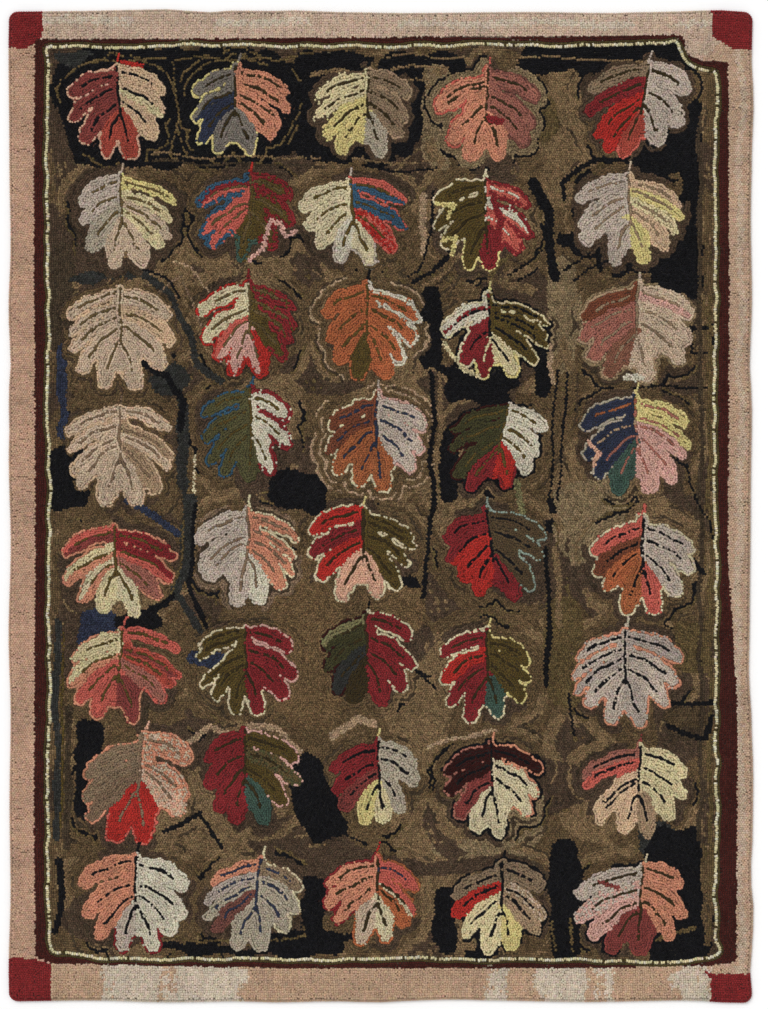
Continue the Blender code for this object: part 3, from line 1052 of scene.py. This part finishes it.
def choose_yarns(x, y):
    """(yarn number, leaf number or -1) for loops in the field."""
    yarn_in_leaf = np.zeros(x.shape, int)
    leaf_at = np.full(x.shape, -1)
    distance, nearest = np.full(x.shape, 999.0), np.full(x.shape, -1)
    for number, (leaf, lobes) in enumerate(zip(LEAVES, LOBES)):
        near_x = np.abs(x - leaf.x) < leaf.wide / 2 + ROUND_LEAF
        near_y = np.abs(y - leaf.y) < leaf.high / 2 + ROUND_LEAF
        spots = np.flatnonzero(near_x & near_y)
        here = place_in_leaf(leaf, lobes, x[spots], y[spots])
        inside = here.depth > 0
        random = np.random.default_rng(700 + number)
        yarn_in_leaf[spots[inside]] = leaf_yarns(leaf, lobes, here, random)[inside]
        leaf_at[spots[inside]] = number
        if leaf.stem:
            stem = spots[~inside & (here.stem < STEM_HALF)]
            yarn_in_leaf[stem] = NUMBER[leaf.stem]
            leaf_at[stem] = number
        closer = -here.depth < distance[spots]
        distance[spots[closer]] = -here.depth[closer]
        nearest[spots[closer]] = number
    yarn = np.where(leaf_at >= 0, yarn_in_leaf, ground_yarns(x, y, distance, nearest))
    for stray in OVER:
        yarn[near_stray(stray, x, y)] = NUMBER[stray.yarn]
    return yarn, leaf_at


print("vein loops skipped:", f"{DASH:.0%}")

# %% [markdown]
# # The border's wool
# The border is salmon that has faded, more on the far side than on the left. A paler stripe runs
# along the middle of the right and far sides, the near side was pieced from blotchy remnants, and
# a red block closes each corner.

# %% Border blocks
STRIPE_IN, STRIPE_HALF = 17, 5
PALE_PIECES = ((-395, -312), (-304, -200), (160, 182), (226, 296), (316, 334), (424, 466))
CORNERS = [read_path(text) for text in (
    "-560 740, -484 740, -487 675, -509 658, -560 658",
    "474 740, 560 740, 560 657, 508 657, 477 674",
    "-560 -740, -560 -649, -497 -651, -474 -660, -474 -740",
    "474 -740, 560 -740, 560 -673, 480 -673, 465 -668, 474 -680",
)]


def border_yarns(x, y, random):
    """The yarn number of each loop from the band outwards: the side's, then its stripe or
    blotches, then the band and the corner blocks over them."""
    beside = border_way(x, y) == ACROSS_WAY
    on_sides = np.where(x < 0, NUMBER["left"], NUMBER["right"])
    yarn = np.where(beside, on_sides, np.where(y > 0, NUMBER["far"], NUMBER["near"]))
    depth = inset(x, y) + random.normal(0, 1.5, x.shape)
    middle = np.abs(depth - STRIPE_IN + 3 * drift(x, y, 150, 71)) < STRIPE_HALF
    yarn[middle & beside & (x > 0)] = NUMBER["right-stripe"]
    yarn[middle & ~beside & (y > 0) & (drift(x, y, 200, 72) > -0.3)] = NUMBER["near-pale"]
    blotch = x + 9 * drift(x, y, 50, 73) + random.normal(0, 3, x.shape)
    for start, end in PALE_PIECES:
        yarn[(yarn == NUMBER["near"]) & (blotch > start) & (blotch < end)] = NUMBER["near-pale"]
    yarn[on_grid(border_depth, x, y) > 0] = NUMBER["band"]
    for corner in CORNERS:
        yarn[inside_path(corner, x, y) > 0] = NUMBER["corner"]
    return yarn


print("pale pieces on the near side:", len(PALE_PIECES))

# %% All the loops in one table
field_x, field_y = settled.T
in_field = (settled_way == FIELD_WAY) & (on_grid(cream_depth, field_x, field_y) > 0)
yarn_of, leaf_of = np.zeros(len(settled), int), np.full(len(settled), -1)
yarn_of[in_field], leaf_of[in_field] = choose_yarns(field_x[in_field], field_y[in_field])
outer = ~in_field
yarn_of[outer] = border_yarns(field_x[outer], field_y[outer], np.random.default_rng(81))

slope_x, slope_y = (on_grid(slope, field_x, field_y) for slope in (row_slope_x, row_slope_y))
row_way = np.stack([-slope_y, slope_x], axis=1)
row_way[settled_way == ACROSS_WAY] = (1, 0)
row_way[settled_way == UP_WAY] = (0, 1)

PARTS = ("leaves", "ground", "band", "border", "corners", "cream", "olive", "rim")
LEAF, GROUND, BAND, BORDER, CORNER, CREAM, OLIVE, RIM = range(8)
part_of = np.full(len(settled), GROUND)
part_of[leaf_of >= 0] = LEAF
part_of[outer] = BORDER
part_of[outer & (yarn_of == NUMBER["band"])] = BAND
part_of[outer & (yarn_of == NUMBER["corner"])] = CORNER

laid = (cream_places, olive_places, rim_places)
BEADS = [NUMBER[name] for name in ("line-cream", "line-pale", "line-olive")]
rim_yarn = border_yarns(*rim_places.T, np.random.default_rng(82))
places = np.concatenate([settled, *laid])
ways = np.concatenate([row_way, to_left(cream_ways), olive_ways, rim_ways])
ways /= np.maximum(np.linalg.norm(ways, axis=1, keepdims=True), 1e-6)
yarns = np.concatenate([
    yarn_of,
    bead_random.choice(BEADS, len(cream_places), p=(0.66, 0.28, 0.06)),
    np.full(len(olive_places), NUMBER["line-olive"]),
    rim_yarn,
])
parts = np.concatenate([part_of, *(np.full(len(a), b) for a, b in zip(laid, (CREAM, OLIVE, RIM)))])
for number, name in enumerate(PARTS):
    print(name, int((parts == number).sum()), "loops")

# %% [markdown]
# # One loop
# A loop of wool is a small round-topped tuft that presses against its neighbours. There are so
# many that each has to be cheap, so only its crown is made: a closed pyramid of five points whose
# shading is smoothed into a dome. The crowns overlap, longer along the row than across it, and
# each leans its own way. Below them lies one thick sheet, the body of the pile, so that no gap
# between crowns opens down to the burlap. Along the rolled rim the loops show from the side, so
# there each is a rounder shell of nine points that lies on its side and points outwards.

# %% The crowns
HALF_LENGTHS = np.array([2.4, 2.4, 2.4, 2.55, 2.4, 2.9, 2.3, 2.2])
HALF_BREADTHS = np.array([2.2, 2.2, 2.2, 2.35, 2.2, 1.9, 1.9, 2.4])
CROWN_DROP = 2.5
TWIST, SIZE_CHANCE, HEIGHT_CHANCE, LEAN = 0.20, 0.08, 0.26, 0.40
CORNER_SIGNS = np.array([(-1, -1), (1, -1), (1, 1), (-1, 1)], float)
UNDER_TOP, LUMP, ROLL_WIDE = 0.35, 0.30, 6.5
LUMPS = ((0.017, 0.009, 0.4), (-0.008, 0.021, 1.9), (0.031, -0.026, 4.2))


def pile_height(x, y):
    """Height of the loops' tops: a little under the rug's own height, less the slow lumps of hand
    work, which are the mean of three sine waves, and lower towards the edge along a quarter
    ellipse."""
    lumps = sum(np.sin(a * x + b * y + turn) for a, b, turn in LUMPS) / 3
    depth = np.clip(inset(x, y), 0.1, ROLL_WIDE) / ROLL_WIDE
    roll = np.sqrt(1 - (1 - depth) ** 2)
    return RIM_HEIGHT + (PILE_TOP - UNDER_TOP + LUMP * (lumps - 1) - RIM_HEIGHT) * roll


def crowns(numbers, random):
    """Points of the crowns as (loop, point, xyz) in mm: four corners on the row's two directions,
    turned and sized by chance, and the top, moved by the lean."""
    count = len(numbers)
    centre, long_way = places[numbers], ways[numbers]
    twist = random.normal(0, TWIST, (count, 1))
    long_way = long_way * np.cos(twist) + to_left(long_way) * np.sin(twist)
    size = random.normal(1, SIZE_CHANCE, (2, count, 1)).clip(0.8, 1.2)
    length = HALF_LENGTHS[parts[numbers]][:, None] * size[0] * long_way
    breadth = HALF_BREADTHS[parts[numbers]][:, None] * size[1] * to_left(long_way)
    top = pile_height(*centre.T) + random.normal(0, HEIGHT_CHANCE, count).clip(-0.6, 0.35)
    out = np.empty((count, 5, 3))
    for point, (a, b) in enumerate(CORNER_SIGNS):
        out[:, point, :2] = centre + a * length + b * breadth
    out[:, :4, 2] = (top - CROWN_DROP)[:, None]
    out[:, 4, :2] = centre + random.normal(0, LEAN, (count, 2))
    out[:, 4, 2] = top
    return out


CROWN_FACES = ((3, 2, 1, 0), (0, 1, 4), (1, 2, 4), (2, 3, 4), (3, 0, 4))
print("triangles a crown:", sum(len(face) - 2 for face in CROWN_FACES))


# %% The rim's shells
SHELL_HEIGHTS = {"foot": (0.9, 5.4), "shoulder": (0.6, 6.2)}
SHELL_OUT = {"foot": (-2.2, -2.2), "shoulder": (1.9, 0.9)}
SHELL_WIDE = {"foot": 0.9, "shoulder": 1.0}


def rim_shells(numbers, random):
    """Points of the rim's shells: foot corners inside the edge, shoulder corners near it, and the
    top on the outline, at the height where the rug is widest. The tables above give a corner's
    height and how far out it stands, for the lower corners first, and how wide apart they are."""
    count = len(numbers)
    centre, along = places[numbers], ways[numbers]
    outward = to_left(along)
    out = np.empty((count, 9, 3))
    reach = HALF_LENGTHS[RIM] * random.normal(1, 0.06, (count, 1)).clip(0.85, 1.15)
    for point, (a, b) in enumerate(CORNER_SIGNS):
        side, upper = a * reach * along, int(b > 0)
        for first, ring in ((0, "foot"), (4, "shoulder")):
            wide, far_out = SHELL_WIDE[ring], SHELL_OUT[ring][upper]
            out[:, first + point, :2] = centre + wide * side + far_out * outward
            out[:, first + point, 2] = SHELL_HEIGHTS[ring][upper]
    out[:, 8, :2] = centre + (RIM_INSET - 0.3) * outward
    out[:, 8, 2] = RIM_HEIGHT + random.normal(0, 0.2, count)
    return out


SHELL_FACES = ((3, 2, 1, 0), (0, 1, 5, 4), (1, 2, 6, 5), (2, 3, 7, 6), (3, 0, 4, 7),
               (4, 5, 8), (5, 6, 8), (6, 7, 8), (7, 4, 8))
print("triangles a shell:", sum(len(face) - 2 for face in SHELL_FACES))

# %% [markdown]
# # Colour and flat map of the loops
# The finish is kept in two places. A colour attribute holds each loop's wool with painted shading
# on it: darker at the foot for the shade down in the hollow, and a little lighter at the top as a
# painted highlight. A flat map gives each loop a little square of its own, side by side on one
# sheet, so that each loop's colours keep to their own square: the foot's corners at the square's
# corners and the top in the middle.
#
# A row is worked with one strip of wool at a time, so the tone changes a little from row to row
# and where a strip ends. That is what makes the streaks in the leaves.

# %% Tones of the wool
TWEED = np.array([0.10, 0.20, 0.14, 0.08, 0.09, 0.09, 0.12, 0.06])
STREAK = np.array([0.11, 0.13, 0.08, 0.05, 0.05, 0.03, 0.04, 0.04])
DYE_SLOW, DYE_FINE, TINT = 0.06, 0.04, 0.03


def strip_tone(x, y):
    """A tone from -1 to 1 for the strip of wool at each place: a hash, the broken part of a large
    sine, of the row's number and of the stretch along it."""
    beside = border_way(x, y) == ACROSS_WAY
    bordering = np.floor((np.where(beside, y, x) + drift(x, y, 40, 94)) / 4.5)
    in_border = on_grid(border_depth, x, y) < 0
    row = np.where(in_border, bordering, np.floor(on_grid(row_number, x, y)))
    stretch = np.floor(x / 46 + row * 0.37) + 5 * np.floor(y / 54 + row * 0.61)
    return 2 * np.modf(np.abs(np.sin(12.9898 * row + 78.233 * stretch)) * 437.585)[0] - 1


def loop_light(numbers, random):
    """Each loop's colour as light: its yarn's, times its own chance, its strip's tone and the slow
    drift of the dye."""
    x, y = places[numbers].T
    count = len(numbers)
    own = TWEED[parts[numbers]] * random.normal(0, 1, count).clip(-2.2, 2.2)
    strip = STREAK[parts[numbers]] * strip_tone(x, y)
    dye = DYE_SLOW * drift(x, y, 90, 91) + DYE_FINE * drift(x, y, 30, 92)
    tint = 1 + TINT * random.normal(0, 1, (count, 3))
    return YARN_LIGHT[yarns[numbers]] * (1 + own + strip + dye)[:, None] * tint


print("tone of the strip at the middle:", round(float(strip_tone(np.zeros(1), np.zeros(1))[0]), 2))

# %% The two shapes, with their painted shading and squares
# Painted shading of a crown: its four foot corners at 0.92 of the loop's colour as painted shade in
# the hollow, its top at 1.04 as a painted highlight.
CROWN_PAINTED_SHADING = np.array([0.92, 0.92, 0.92, 0.92, 1.04])
# Painted shading of a rim shell: the foot corners near the floor at half the colour as painted shade,
# the shoulder corners a little darker, and the top a little lighter as a painted highlight.
SHELL_PAINTED_SHADING = np.array([0.5] * 4 + [0.9] * 4 + [1.05])
CROWN_SQUARE = np.array([(0.05, 0.05), (0.95, 0.05), (0.95, 0.95), (0.05, 0.95), (0.5, 0.5)])
SHELL_SQUARE = np.concatenate([
    CROWN_SQUARE[:4],
    [(0.20, 0.20), (0.80, 0.20), (0.80, 0.80), (0.20, 0.80), (0.5, 0.5)],
])
FOOT_SQUARE = np.array([(0.002, 0.04), (0.04, 0.04), (0.04, 0.002), (0.002, 0.002)])
Shape = namedtuple("Shape", "points faces levels square")
CROWN = Shape(crowns, CROWN_FACES, CROWN_PAINTED_SHADING, CROWN_SQUARE)
SHELL = Shape(rim_shells, SHELL_FACES, SHELL_PAINTED_SHADING, SHELL_SQUARE)
print("points of a crown:", len(CROWN.levels), "- of a shell:", len(SHELL.levels))

# %% Making one mesh from many loops
BAND_DEEP = 8


def put_in_scene(name, data):
    """A new object in the scene, at the origin and unturned."""
    piece = bpy.data.objects.new(name, data)
    bpy.context.scene.collection.objects.link(piece)
    return piece


def reading_order(numbers):
    """Loops sorted in bands across the rug, so that neighbours stay near on the flat map."""
    x, y = places[numbers].T
    return numbers[np.lexsort((x, np.floor(y / BAND_DEEP)))]


def make_loops(name, chosen, shape, seed):
    """One mesh object from the chosen loops: the shape's points and faces for each, its colours
    with painted shading by level, darker at the foot and lighter at the top, and its flat map, where
    each loop has a square and its underside a tiny one in the corner of that."""
    random = np.random.default_rng(seed)
    numbers = reading_order(np.flatnonzero(chosen))
    count = len(numbers)
    a_loop = len(shape.levels)
    spots = shape.points(numbers, random).reshape(-1, 3) * MM
    face_sizes = np.array([len(face) for face in shape.faces])
    face_points = np.concatenate([np.array(face) for face in shape.faces])
    mesh = bpy.data.meshes.new(name)
    mesh.vertices.add(count * a_loop)
    mesh.vertices.foreach_set("co", spots.ravel())
    corners = (face_points[None, :] + a_loop * np.arange(count)[:, None]).ravel()
    starts = np.concatenate([[0], np.cumsum(np.tile(face_sizes, count))[:-1]])
    mesh.loops.add(len(corners))
    mesh.loops.foreach_set("vertex_index", corners.astype(np.int32))
    mesh.polygons.add(count * len(face_sizes))
    mesh.polygons.foreach_set("loop_start", starts.astype(np.int32))
    smooth = [False] + [True] * (len(face_sizes) - 1)
    mesh.polygons.foreach_set("use_smooth", np.tile(smooth, count))
    mesh.update(calc_edges=True)

    colours = np.ones((count, a_loop, 4))
    # Painted shading: each point's colour is scaled by its level, darker at the foot and lighter at
    # the top.
    colours[..., :3] = loop_light(numbers, random)[:, None, :] * shape.levels[None, :, None]
    wool = mesh.attributes.new("wool", "FLOAT_COLOR", "POINT")
    wool.data.foreach_set("color", colours.ravel().clip(0, 1))

    side = int(np.ceil(np.sqrt(count)))
    square = np.stack([np.arange(count) % side, np.arange(count) // side], axis=1)
    inner = shape.square[face_points]
    inner[:4] = FOOT_SQUARE
    flat = (square[:, None, :] + inner[None, :, :]) / side
    mesh.uv_layers.new(name="OFBake").data.foreach_set("uv", flat.ravel())
    piece = put_in_scene(name, mesh)
    print(name, count, "loops", count * int((face_sizes - 2).sum()), "triangles")
    return piece


# %% [markdown]
# # Wool
# Cut wool strip is dull and fuzzy. Under a lens each loop shows fibres along it and the odd pale
# hair. So the material takes the loop's colour from the attribute, mottles it finely, lays a soft
# sheen over it and roughens it with fine noise. The border's yarn is smoother and paler.

# %% Wool materials
Finish = namedtuple("Finish", "name roughness sheen mottle fibre bump")
FINISHES = (
    Finish("hooked wool", 0.95, 0.05, 0.22, 700, 0.40),
    Finish("tweed wool", 0.96, 0.04, 0.30, 600, 0.45),
    Finish("border cotton", 0.92, 0.05, 0.14, 900, 0.30),
    Finish("red block wool", 0.94, 0.05, 0.20, 700, 0.40),
)
SHEEN_TINT = (1.0, 0.93, 0.84, 1.0)


def new_material(name):
    """(material, its nodes, its links, its shader) for a new material."""
    material = bpy.data.materials.new(name)
    material.use_nodes = True
    tree = material.node_tree
    return material, tree.nodes, tree.links, tree.nodes["Principled BSDF"]


def set_inputs(node, **values):
    """Sets a node's inputs by name, with _ for each space, and gives the node back."""
    for name, value in values.items():
        node.inputs[name.replace("_", " ")].default_value = value
    return node


def wool_material(finish):
    """The loop's colour times a fine mottle, with a bump of the same fibres."""
    material, nodes, links, shader = new_material(finish.name)
    place = nodes.new("ShaderNodeTexCoord")
    wool = nodes.new("ShaderNodeAttribute")
    wool.attribute_name = "wool"
    fibre = set_inputs(nodes.new("ShaderNodeTexNoise"), Scale=finish.fibre, Detail=3.0)
    links.new(place.outputs["Object"], fibre.inputs["Vector"])
    low, high = 1 - finish.mottle, 1 + finish.mottle
    mottle = set_inputs(
        nodes.new("ShaderNodeMapRange"), From_Min=0.3, From_Max=0.7, To_Min=low, To_Max=high
    )
    links.new(fibre.outputs["Fac"], mottle.inputs["Value"])
    mixed = nodes.new("ShaderNodeVectorMath")
    mixed.operation = "SCALE"
    links.new(wool.outputs["Color"], mixed.inputs["Vector"])
    links.new(mottle.outputs["Result"], mixed.inputs["Scale"])
    links.new(mixed.outputs["Vector"], shader.inputs["Base Color"])
    bump = set_inputs(nodes.new("ShaderNodeBump"), Strength=finish.bump, Distance=0.0006)
    links.new(fibre.outputs["Fac"], bump.inputs["Height"])
    links.new(bump.outputs["Normal"], shader.inputs["Normal"])
    set_inputs(shader, Roughness=finish.roughness, Sheen_Weight=finish.sheen, Sheen_Roughness=0.5,
               Sheen_Tint=SHEEN_TINT, Specular_IOR_Level=0.06)
    return material


WOOL = {finish.name: wool_material(finish) for finish in FINISHES}
print("wool finishes:", ", ".join(WOOL))

# %% [markdown]
# # The pile
# One mesh of all the loops would be too heavy to handle, and one object for each loop far worse.
# So they are made up as pieces that a maker would name: the leaves and the ground in three strips
# each, the band, the lines, the corner blocks, the border's four sides and the rolled rim.

# %% Making the pile
LEAF_SPLITS = (-600, -105, 262, 600)
GROUND_SPLITS = (-600, -200, 160, 600)


def add_pile(name, chosen, finish, seed, shape=CROWN):
    """Makes a piece, gives it its wool and its slot, and hangs it on the root body."""
    piece = make_loops(name, chosen, shape, seed)
    piece.data.materials.append(WOOL[finish])
    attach(piece, "root")


all_x, all_y = places.T
leaf_x = np.array([leaf.x for leaf in LEAVES])
leaf_all = np.concatenate([leaf_of, np.full(len(places) - len(settled), -1)])
leaf_column = np.where(leaf_all >= 0, leaf_x[leaf_all], 0)
for strip, (low, high) in enumerate(zip(LEAF_SPLITS, LEAF_SPLITS[1:])):
    mine = (parts == LEAF) & (leaf_column >= low) & (leaf_column < high)
    add_pile(f"leaves_{strip + 1}", mine, "hooked wool", 100 + strip)
for strip, (low, high) in enumerate(zip(GROUND_SPLITS, GROUND_SPLITS[1:])):
    mine = (parts == GROUND) & (all_x >= low) & (all_x < high)
    add_pile(f"ground_{strip + 1}", mine, "tweed wool", 110 + strip)
add_pile("dark_red_band", parts == BAND, "hooked wool", 120)
add_pile("frame_lines", (parts == CREAM) | (parts == OLIVE), "hooked wool", 121)
add_pile("corner_blocks", parts == CORNER, "red block wool", 122)
sides_up = border_way(all_x, all_y) == ACROSS_WAY
for number, (side, mine) in enumerate({
    "left": sides_up & (all_x < 0),
    "right": sides_up & (all_x > 0),
    "far": ~sides_up & (all_y > 0),
    "near": ~sides_up & (all_y < 0),
}.items()):
    mine = mine & (parts == BORDER)
    add_pile(f"border_{side}", mine, "border cotton", 123 + number)
add_pile("rolled_rim", parts == RIM, "border cotton", 130, SHELL)

# %% [markdown]
# # The body of the pile
# Below the crowns the loops' legs stand so close that they fill the space. One thick sheet stands
# for them. It follows the pile's height a little below the tops and takes the mean colour of the
# loops above it, darkened, because hardly any light gets down there.

# %% The body's grid
BODY_STEP, BODY_INSET, BODY_DROP, BODY_LOW = 11.0, 6.0, 2.7, 1.9
BODY_DARK = 0.50


def body_grid():
    """Points over the whole rug: shares of the way between opposite sides, pulled in a little."""
    share_x, share_y = np.meshgrid(
        np.linspace(0, 1, round(2 * HALF_WIDE / BODY_STEP)),
        np.linspace(0, 1, round(2 * HALF_LONG / BODY_STEP)),
    )
    rough_x, rough_y = (share_x - 0.5) * 2 * HALF_WIDE, (share_y - 0.5) * 2 * HALF_LONG
    left, right = BODY_INSET - np.interp(rough_y, *LEFT), np.interp(rough_y, *RIGHT) - BODY_INSET
    near, far = BODY_INSET - np.interp(rough_x, *NEAR), np.interp(rough_x, *FAR) - BODY_INSET
    return left + (right - left) * share_x, near + (far - near) * share_y


print("points across and along:", body_grid()[0].shape[::-1])

# %% The body's colour and mesh
def mean_light(x, y):
    """The mean colour of the loops in the square round each grid point."""
    rows, columns = x.shape
    column = np.clip((all_x + HALF_WIDE) / (2 * HALF_WIDE) * (columns - 1) + 0.5, 0, columns - 1)
    row = np.clip((all_y + HALF_LONG) / (2 * HALF_LONG) * (rows - 1) + 0.5, 0, rows - 1)
    place = row.astype(int) * columns + column.astype(int)
    sums = [np.bincount(place, YARN_LIGHT[yarns, c], rows * columns) for c in range(3)]
    count = np.bincount(place, minlength=rows * columns)
    return np.stack(sums, axis=1) / np.maximum(count, 1)[:, None]


def body_mesh():
    """The closed sheet: the grid above, its outer ring again below, walls and one underside."""
    x, y = body_grid()
    rows, columns = x.shape
    number = np.arange(rows * columns).reshape(rows, columns)
    quads = np.stack([number[:-1, :-1], number[:-1, 1:], number[1:, 1:], number[1:, :-1]], axis=-1)
    ring = np.concatenate([number[0, :-1], number[:-1, -1], number[-1, :0:-1], number[:0:-1, 0]])
    top = np.stack([x, y, pile_height(x, y) - BODY_DROP], axis=-1).reshape(-1, 3)
    low = np.column_stack([top[ring, :2], np.full(len(ring), BODY_LOW)])
    below = len(top) + np.arange(len(ring))
    walls = np.stack([ring, below, np.roll(below, -1), np.roll(ring, -1)], axis=1)
    faces = quads.reshape(-1, 4).tolist() + walls.tolist() + [below[::-1].tolist()]
    mesh = bpy.data.meshes.new("pile_body")
    mesh.from_pydata((np.concatenate([top, low]) * MM).tolist(), [], faces)
    light = mean_light(x, y)
    colours = np.ones((len(mesh.vertices), 4))
    colours[:, :3] = np.concatenate([light, light[ring]]) * BODY_DARK
    mesh.attributes.new("wool", "FLOAT_COLOR", "POINT").data.foreach_set("color", colours.ravel())
    return mesh


pile_body = put_in_scene("pile_body", body_mesh())
pile_body.data.materials.append(WOOL["tweed wool"])
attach(pile_body, "root")
print("faces of the body:", len(pile_body.data.polygons))

# %% [markdown]
# # The burlap
# Under the loops lies the foundation: jute burlap, coarse and brown, with its hem turned under all
# round. It could be woven thread by thread, but it shows only from below and in the deepest
# hollows. So it is one closed plate with the rug's own rounded outline, its hem is a flat ring
# below it, and the weave is in the material.

# %% The foundation
SHEET_INSET, SHEET_LOW, SHEET_HIGH = 2.6, 0.7, 2.0
HEM_WIDE, HEM_LOW = 28.0, 0.0


def sheet_ring(pull_in):
    """The rounded outline pulled in, as a closed line of points."""
    ways = np.roll(edge_ring, -1, axis=0) - np.roll(edge_ring, 1, axis=0)
    return edge_ring - to_left(ways / np.linalg.norm(ways, axis=1, keepdims=True)) * pull_in


def plate_mesh(name, outer, inner, low, high):
    """A closed plate between two lines, or filled where `inner` is None: top, underside, edges."""
    count = len(outer)
    ring = np.arange(count)
    following = np.roll(ring, -1)
    if inner is None:
        flat = np.concatenate([outer, outer])
        heights = np.repeat([high, low], count)
        faces = [ring[::-1].tolist(), (ring + count).tolist()]
        sides = np.stack([ring, following, following + count, ring + count], axis=1)
        faces += sides.tolist()
    else:
        flat = np.concatenate([outer, inner, outer, inner])
        heights = np.repeat([high, high, low, low], count)
        pairs = ((0, 1), (3, 2), (2, 0), (1, 3))
        faces = []
        for a, b in pairs:
            a, b = a * count, b * count
            faces += np.stack([ring + a, following + a, following + b, ring + b], axis=1).tolist()
    mesh = bpy.data.meshes.new(name)
    mesh.from_pydata((np.column_stack([flat, heights]) * MM).tolist(), [], faces)
    mesh.validate()
    return mesh


outer_ring = sheet_ring(SHEET_INSET)
hem_rings = sheet_ring(SHEET_INSET + 0.2), sheet_ring(HEM_WIDE)
foundation = put_in_scene(
    "foundation", plate_mesh("foundation", outer_ring, None, SHEET_LOW, SHEET_HIGH)
)
hem = put_in_scene("turned_hem", plate_mesh("turned_hem", *hem_rings, HEM_LOW, SHEET_LOW))
print("foundation faces:", len(foundation.data.polygons), "- hem faces:", len(hem.data.polygons))

# %% Burlap material
THREAD_ROOM = 1.6


def burlap_material():
    """Jute in plain weave: two crossed sets of bands a thread apart, over a straw brown that
    varies from thread to thread."""
    material, nodes, links, shader = new_material("burlap")
    place = nodes.new("ShaderNodeTexCoord")
    bands = []
    for direction in ("X", "Y"):
        wave = nodes.new("ShaderNodeTexWave")
        wave.bands_direction = direction
        set_inputs(wave, Scale=0.314 / (THREAD_ROOM * MM), Distortion=1.2, Detail=2.0)
        links.new(place.outputs["Object"], wave.inputs["Vector"])
        bands.append(wave)
    weave = nodes.new("ShaderNodeMath")
    weave.operation = "MAXIMUM"
    links.new(bands[0].outputs["Fac"], weave.inputs[0])
    links.new(bands[1].outputs["Fac"], weave.inputs[1])
    ramp = nodes.new("ShaderNodeValToRGB")
    ramp.color_ramp.elements[0].color = (0.10, 0.065, 0.035, 1)
    ramp.color_ramp.elements[1].color = (0.36, 0.27, 0.17, 1)
    links.new(weave.outputs["Value"], ramp.inputs["Fac"])
    links.new(ramp.outputs["Color"], shader.inputs["Base Color"])
    bump = set_inputs(nodes.new("ShaderNodeBump"), Strength=0.6, Distance=0.0005)
    links.new(weave.outputs["Value"], bump.inputs["Height"])
    links.new(bump.outputs["Normal"], shader.inputs["Normal"])
    set_inputs(shader, Roughness=0.95, Specular_IOR_Level=0.2)
    return material


burlap = burlap_material()
for piece in (foundation, hem):
    piece.data.materials.append(burlap)
    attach(piece, "root")
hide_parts("rug")

# %% [markdown]
# # Floor, light and camera
# The photo was taken from straight above on a white sheet, under even light. A wide soft lamp
# from the top left gives the loops their small shadows, and the pale world fills them.

# %% Floor
FLOOR_HALF = 30.0
floor_mesh = bpy.data.meshes.new("floor")
floor_corners = [(a * FLOOR_HALF, b * FLOOR_HALF, 0) for a, b in CORNER_SIGNS]
floor_mesh.from_pydata(floor_corners, [], [(0, 1, 2, 3)])
floor = put_in_scene("floor", floor_mesh)
paper, _, _, paper_shader = new_material("white paper")
set_inputs(paper_shader, Base_Color=(0.93, 0.93, 0.93, 1), Roughness=0.9)
floor_mesh.materials.append(paper)
floor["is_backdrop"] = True
print("floor, metres across:", 2 * FLOOR_HALF)

# %% Light
world = bpy.data.worlds.new("pale room")
world.use_nodes = True
set_inputs(world.node_tree.nodes["Background"], Color=(1, 1, 1, 1), Strength=0.80)
bpy.context.scene.world = world
lamp = bpy.data.lights.new("soft lamp", "SUN")
lamp.energy = 1.25
lamp.angle = np.radians(25)
put_in_scene("soft lamp", lamp).rotation_euler = (np.radians(-32), np.radians(-28), 0)
bpy.context.scene.view_settings.view_transform = "Standard"
print("lamp strength:", lamp.energy)

# %% Camera
PHOTO_HIGH = 1009
MM_A_PIXEL = 1.44
AIM_X, AIM_Y = 4.3, 2.2
DISTANCE = 4.0
camera = bpy.data.cameras.new("camera")
camera.sensor_width = 36
camera.lens = 36 * DISTANCE / (PHOTO_HIGH * MM_A_PIXEL * MM)
camera_object = put_in_scene("camera", camera)
camera_object.location = (AIM_X * MM, AIM_Y * MM, DISTANCE)
bpy.context.scene.camera = camera_object
print("lens, mm:", round(camera.lens, 1))

# %% Sizes
new_low, new_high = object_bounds()
new_size = [round(1000 * (high - low), 1) for low, high in zip(new_low, new_high)]
print("scene box, mm:", new_size)
